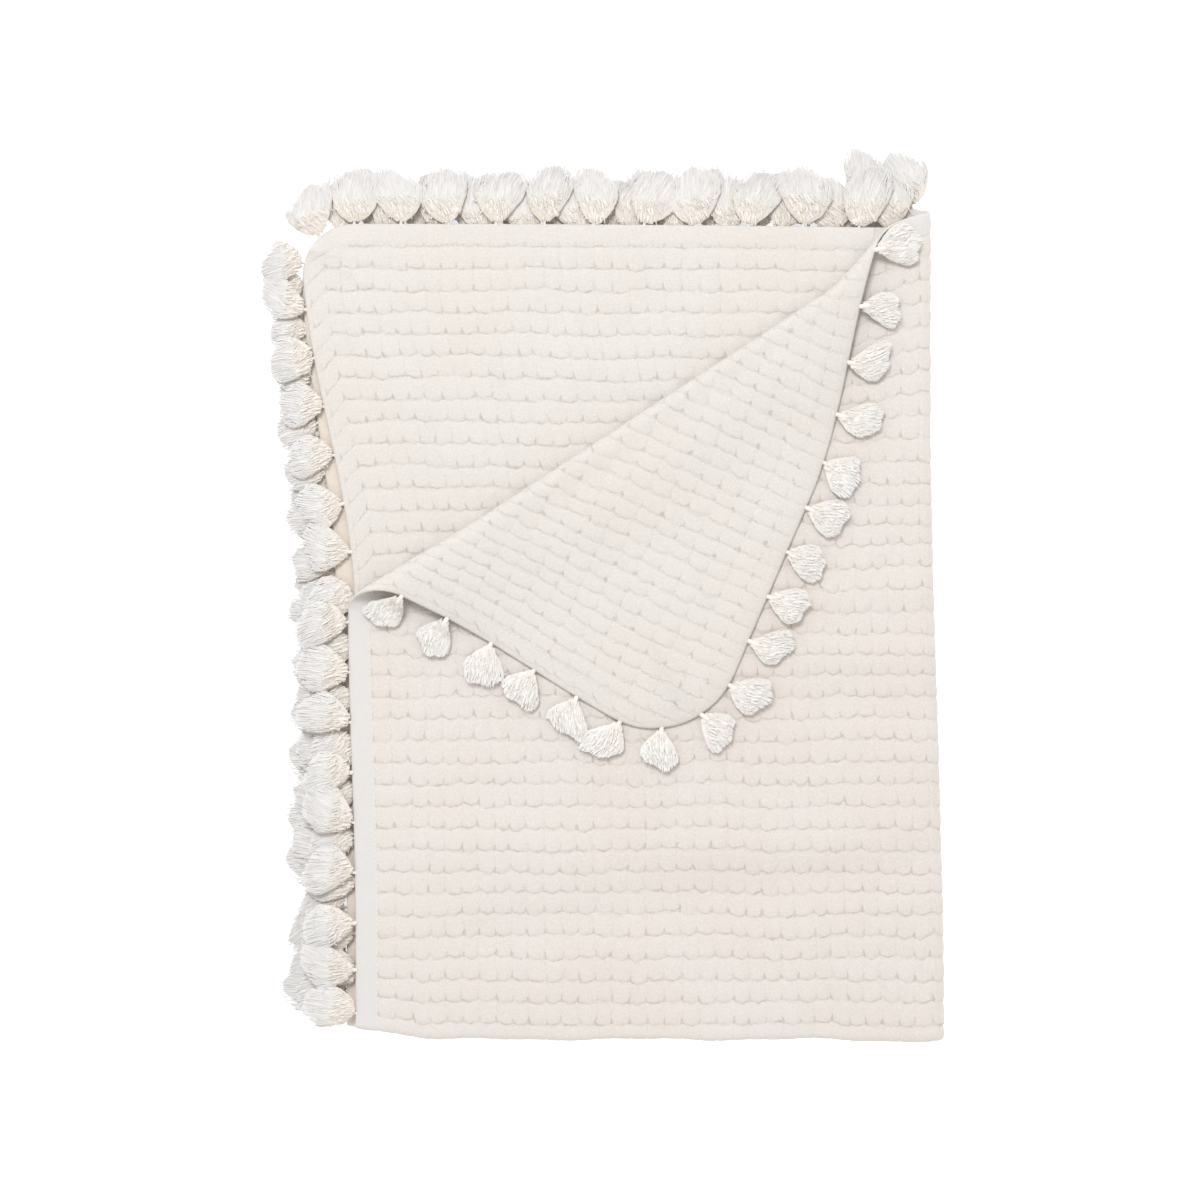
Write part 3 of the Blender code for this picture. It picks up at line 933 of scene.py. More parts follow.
@dataclass(frozen=True)
class Cloth:
    """The blanket's one sheet: waffle cells inside a plain hem, folded as its solid is.

    Attributes:
        plan: where it is folded.
        hem_width: how wide its hem is.
        cell_width: about how wide a cell is.
        cell_length: about how long a cell is.
        cuts_across: where a finely cut cell is cut across the cloth, from 0 to 1.
        cuts_along: where it is cut along the cloth.
        fold_cuts: the same for the row of cells on the tight bottom fold.
        hem_cuts: where the hem is cut, from 0 at its edge to 1.
        puff_height: half the cloth's thickness at the top of a cell.
        groove_height: the same in the grooves.
        hidden_height: the same where it is plainly cut.
        hem_height: the same along the hem's middle.
        edge_height: the same at the hem's edge and its sewn line.
        flap_droop: how far the hem of the turned-back corner sinks to the layer below.
        droop_span: how far past the crease it starts to sink and has sunk.
        pucker_scale: how close together the hem's puckers are.
        pucker_height: how high they are.
        back_hem_span: where, across the hem, the waffle of the back face ends.
        foot_hem_span: the same at the foot hem.
        round_span: how far a rounded corner draws a place in where its cells fade.
        hem_shear: how far the cells of the back face lean over the hem, in cells.
        cell: the shape of a cell.
        unevenness: how much the cells differ in height.
        wobble: how far the rows of cells stray.
        wobbles: how they stray, across and along.
        jitter: how far single cells stray.
        jitters: how they stray, across and along.
        calm_width: how far inside the hem the cells stray fully.
        fold_calm: how far from the bottom fold they start to stray along, and stray fully.
        front_scallop: how far the middle of a cell's edge hangs down, on the front face.
        back_scallop: the same on the back face.
        probes: where each cell is asked whether it shows, from 0 to 1.
        probe_height: how far above the cloth's middle.
        probe_step: the size of the squares that the stack is looked at in.
        probe_depth: how far below the highest place in its square it may be.
        fold_reach: how far from a fold's middle everything counts as shown.
        roll_span: how far before and past the crease everything does.
    """

    plan: FoldPlan
    hem_width: float = 0.0145
    cell_width: float = 0.0106
    cell_length: float = 0.0137
    cuts_across: tuple[float, ...] = (0.0, 0.075, 0.24, 0.50, 0.76, 0.925)
    cuts_along: tuple[float, ...] = (0.0, 0.055, 0.17, 0.37, 0.63, 0.83, 0.945)
    fold_cuts: tuple[float, ...] = (0.0, 0.07, 0.14, 0.21, 0.28, 0.35, 0.42, 0.50, 0.58, 0.75, 0.93)
    hem_cuts: tuple[float, ...] = (0.0, 0.10, 0.35, 0.68, 0.92)
    puff_height: float = 0.0013
    groove_height: float = 0.00075
    hidden_height: float = 0.0012
    hem_height: float = 0.0013
    edge_height: float = 0.0006
    flap_droop: float = 0.0016
    droop_span: Pair = (0.020, 0.060)
    pucker_scale: float = 95.0
    pucker_height: float = 0.0012
    back_hem_span: Pair = (0.0, 0.45)
    foot_hem_span: Pair = (0.78, 1.0)
    round_span: Pair = (0.0, 0.002)
    hem_shear: float = 1.0
    cell: CellShape = CellShape()
    unevenness: float = 0.12
    wobble: float = 0.0016
    wobbles: tuple[SoftNoise, SoftNoise] = (SoftNoise(3, 0.055), SoftNoise(4, 0.045))
    jitter: float = 0.0012
    jitters: tuple[SoftNoise, SoftNoise] = (SoftNoise(5, 0.010), SoftNoise(6, 0.011))
    calm_width: float = 0.02
    fold_calm: Pair = (0.003, 0.014)
    front_scallop: float = 0.0007
    back_scallop: float = 0.0004
    probes: Triple = (0.15, 0.5, 0.85)
    probe_height: float = 0.0015
    probe_step: float = 0.005
    probe_depth: float = 0.0022
    fold_reach: float = 0.012
    roll_span: Pair = (-0.006, 0.045)

    def lines(self, size: float, cell: float, cuts: Sequence[float], fold: float) -> CutLines:
        """Cuts one side of the flat cloth into hems and cells.

        Args:
            size: the length of that side.
            cell: about how long a cell is along it.
            cuts: where each cell is cut, from 0 to 1.
            fold: where the side is folded tightly, or 0 if its fold is wide.

        Returns:
            The lines of that side.
        """
        count = round((size - 2 * self.hem_width) / cell)
        cell = (size - 2 * self.hem_width) / count
        flat, cells, blocks, hem = [], [], [], []
        rim = self.hem_width / cell
        for cut in self.hem_cuts:
            if cut == 0.0:
                blocks.append(0)
            flat.append(cut * self.hem_width)
            cells.append((cut - 1.0) * rim)
            hem.append(cut)
        for i in range(count):
            start = self.hem_width + i * cell
            tight = fold > 0.0 and start < fold < start + cell
            for cut in self.fold_cuts if tight else cuts:
                if cut == 0.0:
                    blocks.append(len(flat))
                flat.append(start + cut * cell)
                cells.append(i + cut)
                hem.append(1.0)
        blocks.append(len(flat))
        for cut in (0.0, *(1.0 - c for c in reversed(self.hem_cuts[1:])), 1.0):
            flat.append(size - self.hem_width * (1.0 - cut))
            cells.append(count + cut * rim)
            hem.append(1.0 - cut)
        blocks.append(len(flat) - 1)
        return CutLines(np.array(flat), np.array(cells), blocks, np.array(hem))

    def seen(self, across: CutLines, along: CutLines, face: Face) -> Array:
        """Which blocks of one face show from above, at the folds or at the roll.

        Args:
            across: the lines across the cloth.
            along: the lines along the cloth.
            face: the face that is asked about.

        Returns:
            A grid of booleans, one row for each block along and one column for each block across.
        """
        shares = np.array(self.probes)
        a, b = across.within(shares), along.within(shares)
        grid = (len(b), len(a), len(shares), len(shares))
        grid_a = np.broadcast_to(a[None, :, None, :], grid)
        grid_b = np.broadcast_to(b[:, None, :, None], grid)
        tops, spots = {}, {}
        for each in Face:
            spot = self.plan.place(grid_a.ravel(), grid_b.ravel(), each.value * self.probe_height)
            squares = [tuple(q) for q in np.floor(spot[:, :2] / self.probe_step).astype(int)]
            spots[each] = (spot[:, 2], squares)
            for key, z in zip(squares, spot[:, 2]):
                tops[key] = max(tops.get(key, 0.0), z)
        height, squares = spots[face]
        top = np.array([tops[key] for key in squares])
        shows = (height > top - self.probe_depth).reshape(grid).any(axis=(2, 3))
        a, b = grid_a[:, :, 1, 1], grid_b[:, :, 1, 1]
        if face is Face.FRONT:
            to_side, to_end = np.abs(a - self.plan.side_fold), np.abs(b - self.plan.end_fold)
            shows |= (to_side < self.fold_reach) & (b > self.plan.end_fold - self.fold_reach)
            shows |= to_end < self.fold_reach
        else:
            past, (before, beyond) = self.plan.past_crease(a, b), self.roll_span
            shows |= (a < self.plan.side_fold) & (past > before) & (past < beyond)
        return shows

    @staticmethod
    def edge(low: int, top: int, cut: bool) -> list[int]:
        """The lines along one edge of a block: all of them, or only its two ends."""
        return list(range(low, top + 1)) if cut else [low, top]

    def faces(self, across: CutLines, along: CutLines) -> tuple[list[list[int]], Array, Array]:
        """The faces of both sides of the sheet, finely cut where they show, and of its rim.

        Args:
            across: the lines across the cloth.
            along: the lines along the cloth.

        Returns:
            The faces, which corners of the grid they use, and which are finely cut.
        """
        wide, high = len(across.flat), len(along.flat)
        faces: list[list[int]] = []
        used = np.zeros(2 * wide * high, bool)
        fine = np.zeros(2 * wide * high, bool)
        edges: dict[tuple[Face, Hem, int], list[int]] = {}
        for face, base in ((Face.FRONT, wide * high), (Face.BACK, 0)):
            seen = np.pad(self.seen(across, along, face), 1)
            rows, columns = len(along.blocks) - 1, len(across.blocks) - 1
            for row in range(rows):
                j0, j1 = along.blocks[row : row + 2]
                for column in range(columns):
                    i0, i1 = across.blocks[column : column + 2]
                    here = bool(seen[row + 1, column + 1])
                    foot = self.edge(i0, i1, here or seen[row, column + 1])
                    head = self.edge(i0, i1, here or seen[row + 2, column + 1])
                    near = self.edge(j0, j1, here or seen[row + 1, column])
                    far = self.edge(j0, j1, here or seen[row + 1, column + 2])
                    if here:
                        firsts = [base + j * wide + i for j in range(j0, j1) for i in range(i0, i1)]
                        loops = [[k, k + 1, k + wide + 1, k + wide] for k in firsts]
                    else:
                        loop = [base + j0 * wide + i for i in foot]
                        loop += [base + j * wide + i1 for j in far[1:]]
                        loop += [base + j1 * wide + i for i in reversed(head[:-1])]
                        loop += [base + j * wide + i0 for j in reversed(near[1:-1])]
                        loops = [loop]
                    for loop in loops:
                        used[loop] = True
                        fine[loop] |= here
                        faces.append(loop if face is Face.FRONT else loop[::-1])
                    if row == 0:
                        edges[face, Hem.FOOT, column] = [base + i for i in foot]
                    if row == rows - 1:
                        edges[face, Hem.HEAD, column] = [base + j1 * wide + i for i in head]
                    if column == 0:
                        edges[face, Hem.NEAR, row] = [base + j * wide for j in near]
                    if column == columns - 1:
                        edges[face, Hem.FAR, row] = [base + j * wide + i1 for j in far]
        for (face, hem, k), front in edges.items():
            if face is Face.BACK:
                continue
            back = edges[Face.BACK, hem, k]
            if hem in (Hem.HEAD, Hem.NEAR):
                front, back = front[::-1], back[::-1]
            if len(front) == len(back):
                faces += [list(quad) for quad in zip(back, back[1:], front[1:], front)]
            else:
                faces.append(back + front[::-1])
        return faces, used, fine

    def strayed(self, at: Corners) -> tuple[Array, Array]:
        """How far corners stray from an even grid.

        Args:
            at: the corners.

        Returns:
            How far they stray across and along.
        """
        a, b, fold = at.a, at.b, self.plan.end_fold
        edge = np.minimum.reduce([a, self.plan.width - a, b, self.plan.length - b])
        free = soft_step(edge, self.hem_width, self.hem_width + self.calm_width)
        across, along = (
            self.wobble * wobble.at(a, b) + self.jitter * jitter.at(a, b)
            for wobble, jitter in zip(self.wobbles, self.jitters)
        )
        scallop = np.where(at.front, self.front_scallop, self.back_scallop)
        bow = scallop * np.cos(math.tau * at.column)
        along = along + np.where(at.turned, 0.0, np.where(b > fold, bow, -bow))
        across = across + np.where(at.turned, scallop * np.cos(math.tau * at.row), 0.0)
        along = along * soft_step(np.abs(b - fold), *self.fold_calm)
        return across * free, along * free

    def marks(self, at: Corners) -> dict[str, Array]:
        """What the relief and the finish need to know of each corner.

        Args:
            at: the corners.

        Returns:
            Numbers by name. side is 1 on the front face and -1 on the back; turned is 1 on the
            turned-back corner; waffle is 1 on the cells and 0 on the hem; band is 1 along the
            hem's middle; under is 1 below the top layer, whose hems get painted warm light; droop
            is how far the hem sinks; hidden is 1 where no cell is raised.
        """
        plan, inside = self.plan, at.inside
        cut_a, cut_b = plan.rounded(at.a, at.b)
        moved = np.hypot(cut_a - at.a, cut_b - at.b)
        foot = soft_step(at.hem_b, *self.foot_hem_span)
        back = np.where(at.b < self.hem_width, foot, soft_step(at.hem_b, *self.back_hem_span))
        back = np.minimum(back, soft_step(at.hem_a, *self.back_hem_span))
        loose = np.maximum(
            soft_step(moved, *self.round_span), np.where(at.front, 0.0, 1.0 - inside)
        )
        hem = np.where(at.a < plan.side_fold, 1.0 - inside, 0.0)
        sunk = soft_step(plan.past_crease(at.a, at.b), *self.droop_span)
        return {
            "side": np.where(at.front, 1.0, -1.0),
            "turned": np.where(at.turned, 1.0, 0.0),
            "waffle": np.where(at.front, np.where(inside >= 1.0, 1.0, 0.0), back),
            "band": np.where(inside < 1.0, np.sin(math.pi * np.clip(inside, 0, 1)) ** 0.5, 0.0),
            # under marks the lower layers, whose hems the finish paints with warm light in place of
            # the bounce light in their shade
            "under": np.where(plan.layer_of(at.a, at.b) > 1, 1.0, 0.0),
            "droop": hem * sunk * self.flap_droop,
            "hidden": np.where(at.fine, np.clip(loose, 0.0, 1.0), 1.0),
        }

    def flat_mesh(self) -> Mesh:
        """Makes the flat cloth as a closed sheet, finely cut where it shows.

        Returns:
            The mesh, all at height 0, with the marks and the cell counts as attributes and its
            flat places as a UV map.
        """
        plan = self.plan
        across = self.lines(plan.width, self.cell_width, self.cuts_across, 0.0)
        along = self.lines(plan.length, self.cell_length, self.cuts_along, plan.end_fold)
        faces, used, fine = self.faces(across, along)
        order = np.flatnonzero(used)
        place = np.full(len(used), -1)
        place[order] = np.arange(len(order))
        front = order >= len(used) // 2
        j, i = np.divmod(order % (len(used) // 2), len(across.flat))
        a, b = across.flat[i], along.flat[j]
        turned = ~front & (a < plan.side_fold) & (plan.past_crease(a, b) > 0.0)
        counts, hems = (across.cells[i], along.cells[j]), (across.hem[i], along.hem[j])
        at = Corners(a, b, *counts, *hems, front, turned, fine[order])
        stray_a, stray_b = self.strayed(at)
        mesh = bpy.data.meshes.new("blanket_cloth_flat")
        mesh.from_pydata(
            np.stack([a + stray_a, b + stray_b, 0.0 * a], axis=1).tolist(),
            [],
            [place[loop].tolist() for loop in faces],
        )
        for name, value in self.marks(at).items():
            layer = mesh.attributes.new(name, "FLOAT", "POINT")
            layer.data.foreach_set("value", value.astype(np.float32))
        cut_a, cut_b = plan.rounded(a, b)
        columns = np.interp(cut_a, across.flat, across.cells)
        rows = np.interp(cut_b, along.flat, along.cells)
        rows = rows - self.hem_shear * np.where(front, 0.0, 1.0 - at.hem_a)
        cell = np.stack([columns, rows, 0.0 * a], axis=1).astype(np.float32)
        layer = mesh.attributes.new("cell", "FLOAT_VECTOR", "POINT")
        layer.data.foreach_set("vector", cell.ravel())
        corners = np.zeros(len(mesh.loops), np.int32)
        mesh.loops.foreach_get("vertex_index", corners)
        flat = np.stack([a, b], axis=1).astype(np.float32)[corners]
        mesh.uv_layers.new(name="flat_cloth").data.foreach_set("uv", flat.ravel())
        return mesh

    def relief(self) -> NodeGraph:
        """The tree that raises the waffle cells and the hem of the flat cloth.

        Returns:
            The tree, with the heights as its inputs.
        """
        g = geometry_tree("waffle_relief")
        heights = {
            "Puff Height": self.puff_height,
            "Groove Height": self.groove_height,
            "Hidden Height": self.hidden_height,
            "Hem Height": self.hem_height,
            "Edge Height": self.edge_height,
            "Unevenness": self.unevenness,
            "Pucker Scale": self.pucker_scale,
            "Pucker Height": self.pucker_height,
        }
        g.sockets("Float", heights)
        g.socket("Seed", "Int", 11)
        column, row, _ = g.parts(g.named("cell", "FLOAT_VECTOR"))
        side, turned = g.named("side"), g.named("turned")
        across, up = cell_place(*cell_axes(column, row, turned), side, turned)
        dome = self.cell.height(across, up)
        index = column.whole() + row.whole() * ROW_STRIDE
        spread = g.given("Unevenness")
        swell = g.luck(1.0 - spread, 1.0 + spread, g.given("Seed"), index)
        groove, puff = g.given("Groove Height"), g.given("Puff Height")
        cells = groove + (puff - groove) * dome * swell
        hidden = g.named("hidden")
        cells = cells * (1.0 - hidden) + g.given("Hidden Height") * hidden
        edge, rim = g.given("Edge Height"), g.given("Hem Height")
        noise = g.put("ShaderNodeTexNoise", {"Scale": g.given("Pucker Scale"), "Detail": 1.0})
        pucker = (Term(g, noise.outputs[0]) - 0.5) * g.given("Pucker Height")
        hem = edge + (rim - edge + pucker) * g.named("band")
        waffle = g.named("waffle")
        height = cells * waffle + hem * (1.0 - waffle)
        x, y, _ = g.parts(g.put("GeometryNodeInputPosition").outputs[0])
        place = g.vector(x, y, height * side + g.named("droop"))
        moved = g.put(
            "GeometryNodeSetPosition", {"Geometry": g.given("Geometry"), "Position": place}
        )
        give_geometry(g, shaded(g, moved.outputs[0]))
        return g

    def build(self, material: Material) -> Object:
        """Makes the cloth and folds it.

        Args:
            material: its finish.

        Returns:
            The cloth's object.
        """
        flat = self.flat_mesh()
        mesh = grow(flat, "blanket_cloth", self.relief(), {"Material": material})
        co = np.zeros(len(mesh.vertices) * 3, np.float32)
        mesh.vertices.foreach_get("co", co)
        a, b, w = co.reshape(-1, 3).astype(float).T
        placed = self.plan.place(a, b, w)
        placed[:, 2] = np.maximum(placed[:, 2], 0.0)
        mesh.vertices.foreach_set("co", placed.astype(np.float32).ravel())
        mesh.update()
        LOG.info("blanket_cloth: %d triangles", triangles(mesh))
        return show(mesh, "blanket_cloth")


@dataclass(frozen=True)
class Stitching:
    """The sewn line along the inside of each hem, on both faces of the cloth.

    Attributes:
        plan: where the cloth is folded.
        inset: how far inside the edge the line lies.
        height: how far above the cloth's middle.
        step: how far apart the line's own points are.
        pitch: how far apart the stitches are.
        length: half the length of a stitch.
        thickness: half its thickness.
        facets: how many sides and rings it has.
    """

    plan: FoldPlan
    inset: float = 0.0134
    height: float = 0.00095
    step: float = 0.004
    pitch: float = 0.0036
    length: float = 0.0013
    thickness: float = 0.00028
    facets: tuple[int, int] = (5, 3)

    def route(self) -> Mesh:
        """The lines that the stitches follow, one round each face.

        Returns:
            A mesh of two open rings of edges.
        """
        points, edges = [], []
        wide, long = self.plan.width, self.plan.length
        sides = (
            (Hem.FOOT, wide, 1),
            (Hem.FAR, long, 1),
            (Hem.HEAD, wide, -1),
            (Hem.NEAR, long, -1),
        )
        for face in Face:
            ring = []
            for hem, reach, way in sides:
                along = np.linspace(self.inset, reach - self.inset, round(reach / self.step))
                a, b = self.plan.beside(hem, along[::way], -self.inset)
                ring.append(self.plan.place(a, b, face.value * self.height))
            ring = np.concatenate(ring)
            first = len(points)
            points += ring.tolist()
            edges += [(first + k, first + k + 1) for k in range(len(ring) - 1)]
        mesh = bpy.data.meshes.new("stitch_route")
        mesh.from_pydata(points, edges, [])
        return mesh

    def tree(self) -> NodeGraph:
        """The tree that lays one stitch after another along a line.

        Returns:
            The tree, with the stitch's sizes as its inputs.
        """
        g = geometry_tree("hem_stitches")
        g.sockets(
            "Float",
            {"Pitch": self.pitch, "Half Length": self.length, "Half Thickness": self.thickness},
        )
        curve = g.put("GeometryNodeMeshToCurve", {"Mesh": g.given("Geometry")})
        even = g.put(
            "GeometryNodeResampleCurve",
            {"Curve": curve.outputs[0], "Length": g.given("Pitch")},
            mode="LENGTH",
        )
        sides, rings = self.facets
        stitch = g.put(
            "GeometryNodeMeshUVSphere", {"Segments": sides, "Rings": rings, "Radius": 1.0}
        )
        tangent = g.put("GeometryNodeInputTangent").outputs[0]
        turned = g.put("FunctionNodeAlignRotationToVector", {"Vector": tangent}, axis="X")
        thick = g.given("Half Thickness")
        laid = g.put(
            "GeometryNodeInstanceOnPoints",
            {
                "Points": even.outputs[0],
                "Instance": stitch.outputs[0],
                "Rotation": turned.outputs[0],
                "Scale": g.vector(g.given("Half Length"), thick, thick),
            },
        )
        give_geometry(g, shaded(g, laid.outputs[0]))
        return g

    def build(self, material: Material) -> Object:
        """Makes the stitches of all four hems as one piece.

        Args:
            material: their finish.

        Returns:
            The stitches' object.
        """
        mesh = grow(self.route(), "hem_stitches", self.tree(), {"Material": material})
        LOG.info("hem_stitches: %d triangles", triangles(mesh))
        return show(mesh, "hem_stitches")


@dataclass(frozen=True)
class TasselStyle:
    """How the tassels of a run are made up.

    Attributes:
        stray: how much of the loose swing they take.
        size: the least and the most of their length, beside the solid's.
        wide: their width, beside the full width.
        tall: their height, beside the solid's.
        bloom: the least and the most of how slowly the skirt opens.
        neck: the same of how far out the skirt starts, beside the length.
        waviness: how far the yarns wander.
        curl_span: how much of the length the curled yarns take up.
        curl_width: how wide each of them is, beside the skirt's half width.
        raggedness: how uneven the tips are.
        tip_rounding: how much shorter the skirt is at its sides.
        depth: how strongly painted shade darkens the inner yarns.
    """

    stray: float
    size: Pair
    wide: float
    tall: float
    bloom: Pair
    neck: Pair
    waviness: float
    curl_span: float
    curl_width: float
    raggedness: float
    tip_rounding: float
    depth: float

    @property
    def inputs(self) -> dict[str, float]:
        """What it sets in the tassels' tree."""
        return {
            "Waviness": self.waviness,
            "Curl Span": self.curl_span,
            "Curl Width": self.curl_width,
            "Raggedness": self.raggedness,
            "Tip Rounding": self.tip_rounding,
            "Depth": self.depth,
        }


# The last number of each style, depth, sets how strongly painted shade darkens its inner yarns.
FULL = TasselStyle(
    1.0, (0.95, 1.08), 1.14, 1.15, (0.34, 0.60), (0.04, 0.12), 0.0008, 0.34, 0.40, 0.05, 0.55, 0.75
)
LIGHT = TasselStyle(
    0.6, (0.88, 0.98), 1.0, 0.80, (0.55, 0.85), (0.11, 0.17), 0.0012, 0.62, 0.20, 0.09, 0.40, 0.2
)


@dataclass(frozen=True)
class TasselRun:
    """One run of tassels along a hem, in one layer of the stack.

    Attributes:
        name: the solid that it stands for.
        hem: the hem that it hangs from.
        start: where its solid starts along the hem.
        stop: where its solid stops.
        first: where its first tassel is tied.
        pitch: the distance to the next.
        bed: the height of what the tassels lie on.
        tall: how tall they lie.
        long_first: the length of the first one, beside the full length.
        long_last: the length of the last one.
    """

    name: str
    hem: Hem
    start: float
    stop: float
    first: float
    pitch: float
    bed: float
    tall: float
    long_first: float
    long_last: float

    @property
    def under(self) -> bool:
        """Whether it lies in the third or fourth layer, under the others."""
        return self.name.endswith(("_3", "_4"))

    @property
    def on_top_hem(self) -> bool:
        """Whether it hangs from the stack's top hem."""
        return self.name.startswith("tassels_top")

    @property
    def on_flap(self) -> bool:
        """Whether it hangs from the turned-back corner."""
        return self.name.startswith("tassels_flap")

    @property
    def style(self) -> TasselStyle:
        """How its tassels are made up."""
        return LIGHT if self.on_flap else FULL


RUNS = tuple(
    TasselRun("tassels_" + name, *values)
    for name, *values in (
        ("left_1", Hem.NEAR, 0.5170, 0.7765, 0.5210, 0.0315, 0.0132, 0.0058, 0.98, 0.90),
        ("flap_lower", Hem.NEAR, 0.8130, 1.0120, 0.8230, 0.0300, 0.0154, 0.0062, 0.80, 0.80),
        ("flap_right", Hem.HEAD, 0.0120, 0.3300, 0.0200, 0.0306, 0.0154, 0.0062, 0.80, 0.84),
        ("left_2", Hem.NEAR, 0.0090, 0.5020, 0.0240, 0.0300, 0.0088, 0.0040, 0.80, 0.88),
        ("top_2", Hem.FOOT, 0.0010, 0.3560, 0.0035, 0.0300, 0.0088, 0.0040, 0.86, 0.90),
        ("left_3", Hem.FAR, 0.0120, 0.5020, 0.0310, 0.0300, 0.0044, 0.0040, 0.66, 0.98),
        ("top_3", Hem.FOOT, 0.3840, 0.7330, 0.3920, 0.0300, 0.0044, 0.0040, 0.96, 0.86),
        ("left_4", Hem.FAR, 0.5190, 1.0150, 0.5330, 0.0300, 0.0000, 0.0040, 1.12, 0.74),
        ("top_4", Hem.HEAD, 0.3780, 0.7330, 0.3800, 0.0300, 0.0000, 0.0040, 0.96, 0.90),
    )
)

# What differs from yarn to yarn: a name, the least, the most, and what is added to the seed.
Chances = tuple[tuple[str, float, float, float], ...]
STRAND_CHANCES: Chances = (
    ("lift", 0.95, 1.04, 1.0),
    ("reach", 0.975, 1.005, 2.0),
    ("phase", 0.0, 6.28, 3.0),
    ("turns", 7.0, 19.0, 4.0),
    ("stray", -1.0, 1.0, 5.0),
    ("begin", 0.0, 0.20, 11.0),
)
CURL_CHANCES: Chances = (
    ("far", 0.0, 1.0, 6.0),
    ("fan", -0.75, 0.75, 7.0),
    ("phase", 0.0, 6.28, 8.0),
    ("curl", 0.0011, 0.0024, 9.0),
    ("lift", 0.92, 1.16, 10.0),
)


@dataclass(frozen=True)
class Tassels:
    """The loose cotton tassels, each tied through the hem by its own string.

    Attributes:
        plan: where the hems are folded to.
        full_length: the length of a full tassel.
        full_width: its width.
        root_width: how much hem its string takes.
        swing: how far it swings to either side, as in the solids.
        spread: how much its length differs, as in the solids.
        loose_swing: how far it swings beyond that.
        skew: how much fuller one side of the skirt is than the other.
        bend: how far its tip is bent aside, beside its length.
        top_gain: how much longer it is on the top hem, at a run's start and more at its end.
        width_range: the least and the most of its width, beside what its length asks for.
        height_range: the same of its height.
        aim: how far outside the hem its direction is taken.
        sink: how far below its tie its string lies.
        fall: how far out its string starts to fall and has fallen to its bed.
        opening: in how much of its length the skirt opens.
        flare: how wide the skirt is at the neck, and how much it gains to its tip.
        wrap: how far round the skirt its yarns go, to either side.
        squareness: how square the skirt's end is, below 1.
        rag_waves: the waves of the skirt's uneven end, as their rate and size.
        tip_span: how far out the yarn's painted light starts to blend from its root colour to its
            tip colour, and has blended.
        strands: how many loose yarns it has, on the upper and on the lower layers.
        curls: how many curled yarns.
        segments: how many parts a loose yarn is made of.
        strand_radius: half the thickness of a yarn.
        string_radius: the same of its string.
        head_radius: the same of the widest tied head.
        head_share: how much of that a head takes.
    """

    plan: FoldPlan
    full_length: float = 0.0350
    full_width: float = 0.0260
    root_width: float = 0.0024
    swing: float = math.radians(6)
    spread: float = 0.05
    loose_swing: float = math.radians(15)
    skew: float = 0.22
    bend: float = 0.26
    top_gain: Pair = (1.10, 0.16)
    width_range: Pair = (0.90, 1.12)
    height_range: Pair = (0.9, 1.1)
    aim: float = 0.003
    sink: float = 0.0008
    fall: Pair = (0.001, 0.013)
    opening: float = 0.42
    flare: Pair = (0.82, 0.24)
    wrap: float = 1.75
    squareness: float = 0.86
    rag_waves: tuple[Pair, Pair] = ((2.3, 0.6), (6.1, 0.4))
    tip_span: Pair = (0.10, 0.80)
    strands: tuple[int, int] = (118, 84)
    curls: tuple[int, int] = (26, 14)
    segments: int = 7
    strand_radius: float = 0.00032
    string_radius: float = 0.0016
    head_radius: float = 0.0026
    head_share: float = 0.72

    def roots(self, run: TasselRun, luck: random.Random) -> Mesh:
        """The places where the tassels of one run are tied, with what each one is like.

        Args:
            run: the run of tassels.
            luck: the seeded source of their swing and length, as in the solids.

        Returns:
            A mesh of loose vertices with the attributes root, out, side, long, wide, tall, bed,
            bend, bloom, neck, skew and rag.
        """
        rows: list[dict[str, Any]] = []
        whim, style = random.Random(run.name), run.style
        for i in range(int((run.stop - self.root_width - run.first) / run.pitch) + 1):
            along = run.first + i * run.pitch
            tied = self.plan.place(*self.plan.beside(run.hem, along, 0.0), 0.0)[0]
            beyond = self.plan.place(*self.plan.beside(run.hem, along, self.aim), 0.0)[0]
            out = Vector((*(beyond - tied)[:2], 0.0)).normalized()
            stray = whim.uniform(-self.loose_swing, self.loose_swing) * style.stray
            out.rotate(Quaternion((0.0, 0.0, 1.0), luck.uniform(-self.swing, self.swing) + stray))
            share = (along - self.root_width / 2 - run.start) / (run.stop - run.start)
            length = run.long_first + (run.long_last - run.long_first) * share
            length *= 1.0 + luck.uniform(-self.spread, self.spread)
            lift = float(self.plan.lift(tied[:1], tied[1:2])[0])
            size = whim.uniform(*style.size)
            gain = self.top_gain[0] + self.top_gain[1] * share if run.on_top_hem else 1.0
            width = self.full_width * (0.5 + 0.5 * length * gain)
            rows.append(
                {
                    "root": tied,
                    "out": out,
                    "side": Vector((-out.y, out.x, 0.0)),
                    "long": self.full_length * length * size * gain,
                    "wide": width * whim.uniform(*self.width_range) * style.wide,
                    "tall": run.tall * lift * (style.tall * whim.uniform(*self.height_range)),
                    "bed": run.bed * lift,
                    "bend": whim.uniform(-self.bend, self.bend),
                    "bloom": whim.uniform(*style.bloom),
                    "neck": whim.uniform(*style.neck),
                    "skew": whim.uniform(-self.skew, self.skew),
                    "rag": whim.uniform(0.0, math.tau),
                }
            )
        mesh = bpy.data.meshes.new(run.name + "_roots")
        mesh.from_pydata([tuple(row["root"]) for row in rows], [], [])
        for name in rows[0]:
            values = np.array([row[name] for row in rows], np.float32)
            kind, key = ("FLOAT_VECTOR", "vector") if values.ndim > 1 else ("FLOAT", "value")
            mesh.attributes.new(name, kind, "POINT").data.foreach_set(key, values.ravel())
        return mesh

